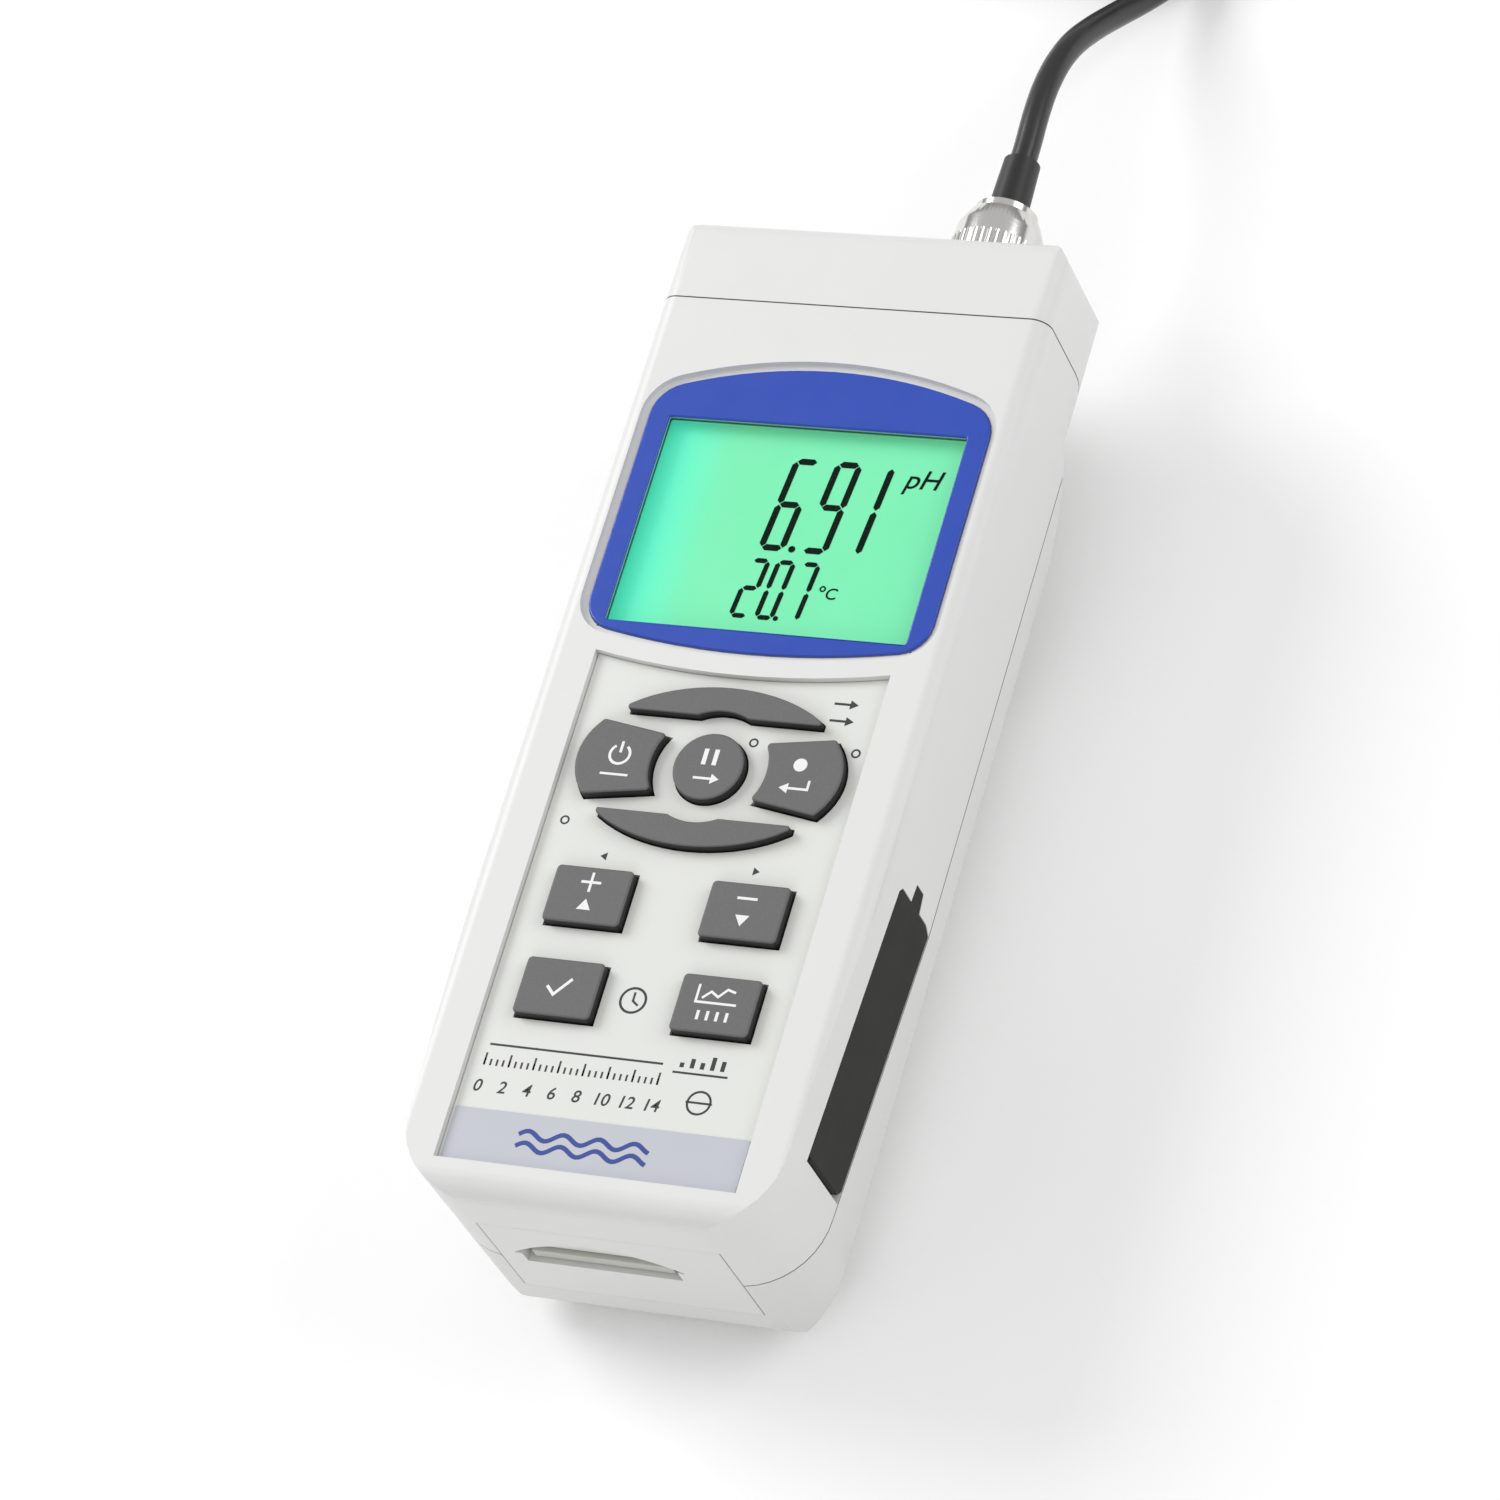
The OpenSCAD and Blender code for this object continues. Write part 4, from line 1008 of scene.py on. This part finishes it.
def tick_tree():
    tree = new_tree("row_of_ticks", [("Count", "Int", 15), ("Step", "Float", 1.0), ("Width", "Float", 0.2),
                                     ("Height", "Float", 1.0), ("Depth", "Float", 0.04),
                                     ("Ink", "Material", None)])
    add, link = tree.nodes.new, tree.links.new
    given = add("NodeGroupInput").outputs
    step = add("ShaderNodeCombineXYZ")
    link(given["Step"], step.inputs["X"])
    row = add("GeometryNodeMeshLine")
    link(given["Count"], row.inputs["Count"])
    link(step.outputs[0], row.inputs["Offset"])
    size = add("ShaderNodeCombineXYZ")
    for axis, label in zip("XYZ", ("Width", "Height", "Depth")):
        link(given[label], size.inputs[axis])
    bar = add("GeometryNodeMeshCube")
    link(size.outputs[0], bar.inputs["Size"])
    on_points = add("GeometryNodeInstanceOnPoints")
    link(row.outputs[0], on_points.inputs["Points"])
    link(bar.outputs[0], on_points.inputs["Instance"])
    real = add("GeometryNodeRealizeInstances")
    link(on_points.outputs[0], real.inputs[0])
    inked = add("GeometryNodeSetMaterial")
    link(real.outputs[0], inked.inputs["Geometry"])
    link(given["Ink"], inked.inputs["Material"])
    link(inked.outputs[0], add("NodeGroupOutput").inputs[0])
    return tree


# %% Panel printing
panel_low, panel_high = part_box("keypad_plate")
hub_low, hub_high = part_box("key_hold")
hub_y = (hub_low.y + hub_high.y) / 2
scale_y = lcd_y - 98.2 * MM
scale_step = 2.1 * MM
scale_x = -22.5 * MM


def panel_marks():
    ink = Ink(0, lcd_y, panel_high.z)
    for x, y in ((19.2, -30.2), (19.2, -33.2)):
        ink.line([(x - 2.2, y), (x + 0.6, y)], 0.4)
        ink.fill([(x + 0.5, y + 0.8), (x + 1.9, y), (x + 0.5, y - 0.8)])
    for x, y in ((5.6, -38.4), (23, -38.6), (-22, -55)):
        ink.arc(x, y, 0.65, 0, 360, 0.3)
    ink.fill([(-14.1, -60.6), (-13, -61.3), (-13, -59.9)])
    ink.fill([(13.1, -60.6), (12, -59.9), (12, -61.3)])
    ink.arc(-1.2, -84.6, 2.1, 0, 360, 0.4)
    ink.line([(-1.2, -83.2), (-1.2, -84.7), (-0.2, -85.4)], 0.35)
    for k, height in enumerate((0.8, 1.6, 1.1, 2.2, 1.7)):
        x = 10 + 1.7 * k
        ink.line([(x, -94.8), (x, -94.8 + height)], 0.7)
    ink.line([(8.8, -95.7), (18, -95.7)], 0.35)
    ink.line([(-22.5, -94.6), (6.9, -94.6)], 0.35)
    for k in range(0, 15, 2):
        ink.write(str(k), -22.5 + 2.1 * k, -101.8, 2.1, 0.15, 0.03)
    ink.arc(14.6, -100.4, 1.9, 0, 360, 0.35)
    ink.line([(12.4, -100.4), (16.8, -100.4)], 0.35)
    ink.dry("panel_marks", grey_ink, "case", "black_plastic")


def strip_mark():
    """A plain blue wave on the strip."""
    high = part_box("label_strip")[1]
    ink = Ink(0, lcd_y, high.z)
    for lift in (0.9, -1.1):
        points = [(-13 + 0.5 * k, -110 + lift + 0.7 * math.sin(0.5 * k * 1.05)) for k in range(45)]
        ink.line(points, 0.75)
    ink.dry("strip_mark", blue_ink, "case", "surround_blue")


panel_marks()
strip_mark()
ticks = tick_tree()
for name, count, step, height in (("scale_fine", 29, scale_step / 2, 1.1), ("scale_main", 8, scale_step * 2, 2.1)):
    values = {"Count": count, "Step": step, "Width": 0.32 * MM, "Height": height * MM, "Depth": INK,
              "Ink": grey_ink.material}
    place = Matrix.Translation((scale_x, scale_y + height * MM / 2, panel_high.z))
    grow(name, ticks, values, place, grey_ink, "case", "black_plastic")


# %% [markdown]
# ## Figures on the display
# The display shows leaning seven-bar figures. Each figure lights some of seven bars, so a small table
# of which bars is enough, and one function draws any bar: a flat hexagon with pointed ends.

# %% Display figures
BARS = {"0": "abcdef", "1": "bc", "2": "abged", "6": "acdefg", "7": "abc", "9": "abcdfg"}


def bar(ink, a, b, thick, gap, lean, base):
    """One bar from a to b, its ends pointed, leaning to the right as it rises."""
    a, b = Vector(a), Vector(b)
    way = (b - a).normalized()
    side = Vector((-way.y, way.x)) * thick / 2
    a, b = a + way * gap, b - way * gap
    ends = [a, a + way * thick / 2 - side, b - way * thick / 2 - side, b, b - way * thick / 2 + side,
            a + way * thick / 2 + side]
    ink.fill([(p.x + (p.y - base) * lean, p.y) for p in ends])


def figure(ink, char, x, y, width, height, thick, lean):
    mid = y + height / 2
    left, right, top = x, x + width, y + height
    runs = {"a": ((left, top), (right, top)), "b": ((right, mid), (right, top)),
            "c": ((right, y), (right, mid)), "d": ((left, y), (right, y)),
            "e": ((left, y), (left, mid)), "f": ((left, mid), (left, top)),
            "g": ((left, mid), (right, mid))}
    for name in BARS[char]:
        bar(ink, *runs[name], thick, 0.12, lean, y)


def display_figures():
    ink = Ink(lcd_x, lcd_y, lcd_z + INK)
    for char, x in (("6", -4.4), ("9", 2.9), ("1", 8.6)):
        figure(ink, char, x, -2.3, 3.6, 16.1, 1.12, 0.1)
    ink.disc(0.9, -2.3, 0.6)
    for char, x in (("2", -6), ("0", -1.6), ("7", 2.7)):
        figure(ink, char, x, -15, 2.6, 10.2, 0.85, 0.1)
    ink.disc(1.75, -15, 0.45)
    ink.write("pH", 19.5, 11.9, 3.6, 0.25, 0.02)
    ink.arc(8.2, -9, 0.42, 0, 360, 0.26)
    ink.write("C", 9.8, -9.9, 2.1, 0.1, 0.02)
    ink.dry("display_figures", segment_ink, "case", "black_plastic")


display_figures()
print("figures 6.91 and 20.7 on the display")


# %% [markdown]
# ## Bayonet collar
# The plug's turning collar is knurled with straight ridges so that fingers can grip it. Ridges repeat
# round an axis, so Geometry Nodes lays them: a circle of points and a slim rod on each, along the axis.
# They sink half into the collar, which keeps its own softened body.

# %% Collar ridges
def ridge_tree():
    tree = new_tree("ring_of_ridges", [("Count", "Int", 36), ("Radius", "Float", 0.007),
                                       ("Ridge", "Float", 0.0004), ("Length", "Float", 0.008),
                                       ("Sides", "Int", 8), ("Plate", "Material", None)])
    add, link = tree.nodes.new, tree.links.new
    given = add("NodeGroupInput").outputs
    ring = add("GeometryNodeMeshCircle")
    link(given["Count"], ring.inputs["Vertices"])
    link(given["Radius"], ring.inputs["Radius"])
    rod = add("GeometryNodeMeshCylinder")
    link(given["Sides"], rod.inputs["Vertices"])
    link(given["Ridge"], rod.inputs["Radius"])
    link(given["Length"], rod.inputs["Depth"])
    on_points = add("GeometryNodeInstanceOnPoints")
    link(ring.outputs[0], on_points.inputs["Points"])
    link(rod.outputs["Mesh"], on_points.inputs["Instance"])
    real = add("GeometryNodeRealizeInstances")
    link(on_points.outputs[0], real.inputs[0])
    plated_ridges = add("GeometryNodeSetMaterial")
    link(real.outputs[0], plated_ridges.inputs["Geometry"])
    link(given["Plate"], plated_ridges.inputs["Material"])
    link(plated_ridges.outputs[0], add("NodeGroupOutput").inputs[0])
    return tree


collar_low, collar_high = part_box("plug_collar")
collar_mid = (collar_low + collar_high) / 2
collar_mid.y = collar_low.y + 3.3 * MM
along_y = Matrix.Rotation(math.radians(-90), 4, "X")
ridges = ridge_tree()
grow("collar_ridges", ridges,
     {"Count": 36, "Radius": (collar_high.x - collar_low.x) / 2 - 0.1 * MM, "Ridge": 0.42 * MM,
      "Length": 5.2 * MM, "Sides": 10, "Plate": nickel.material},
     Matrix.Translation(collar_mid) @ along_y, nickel, "collar", "nickel")
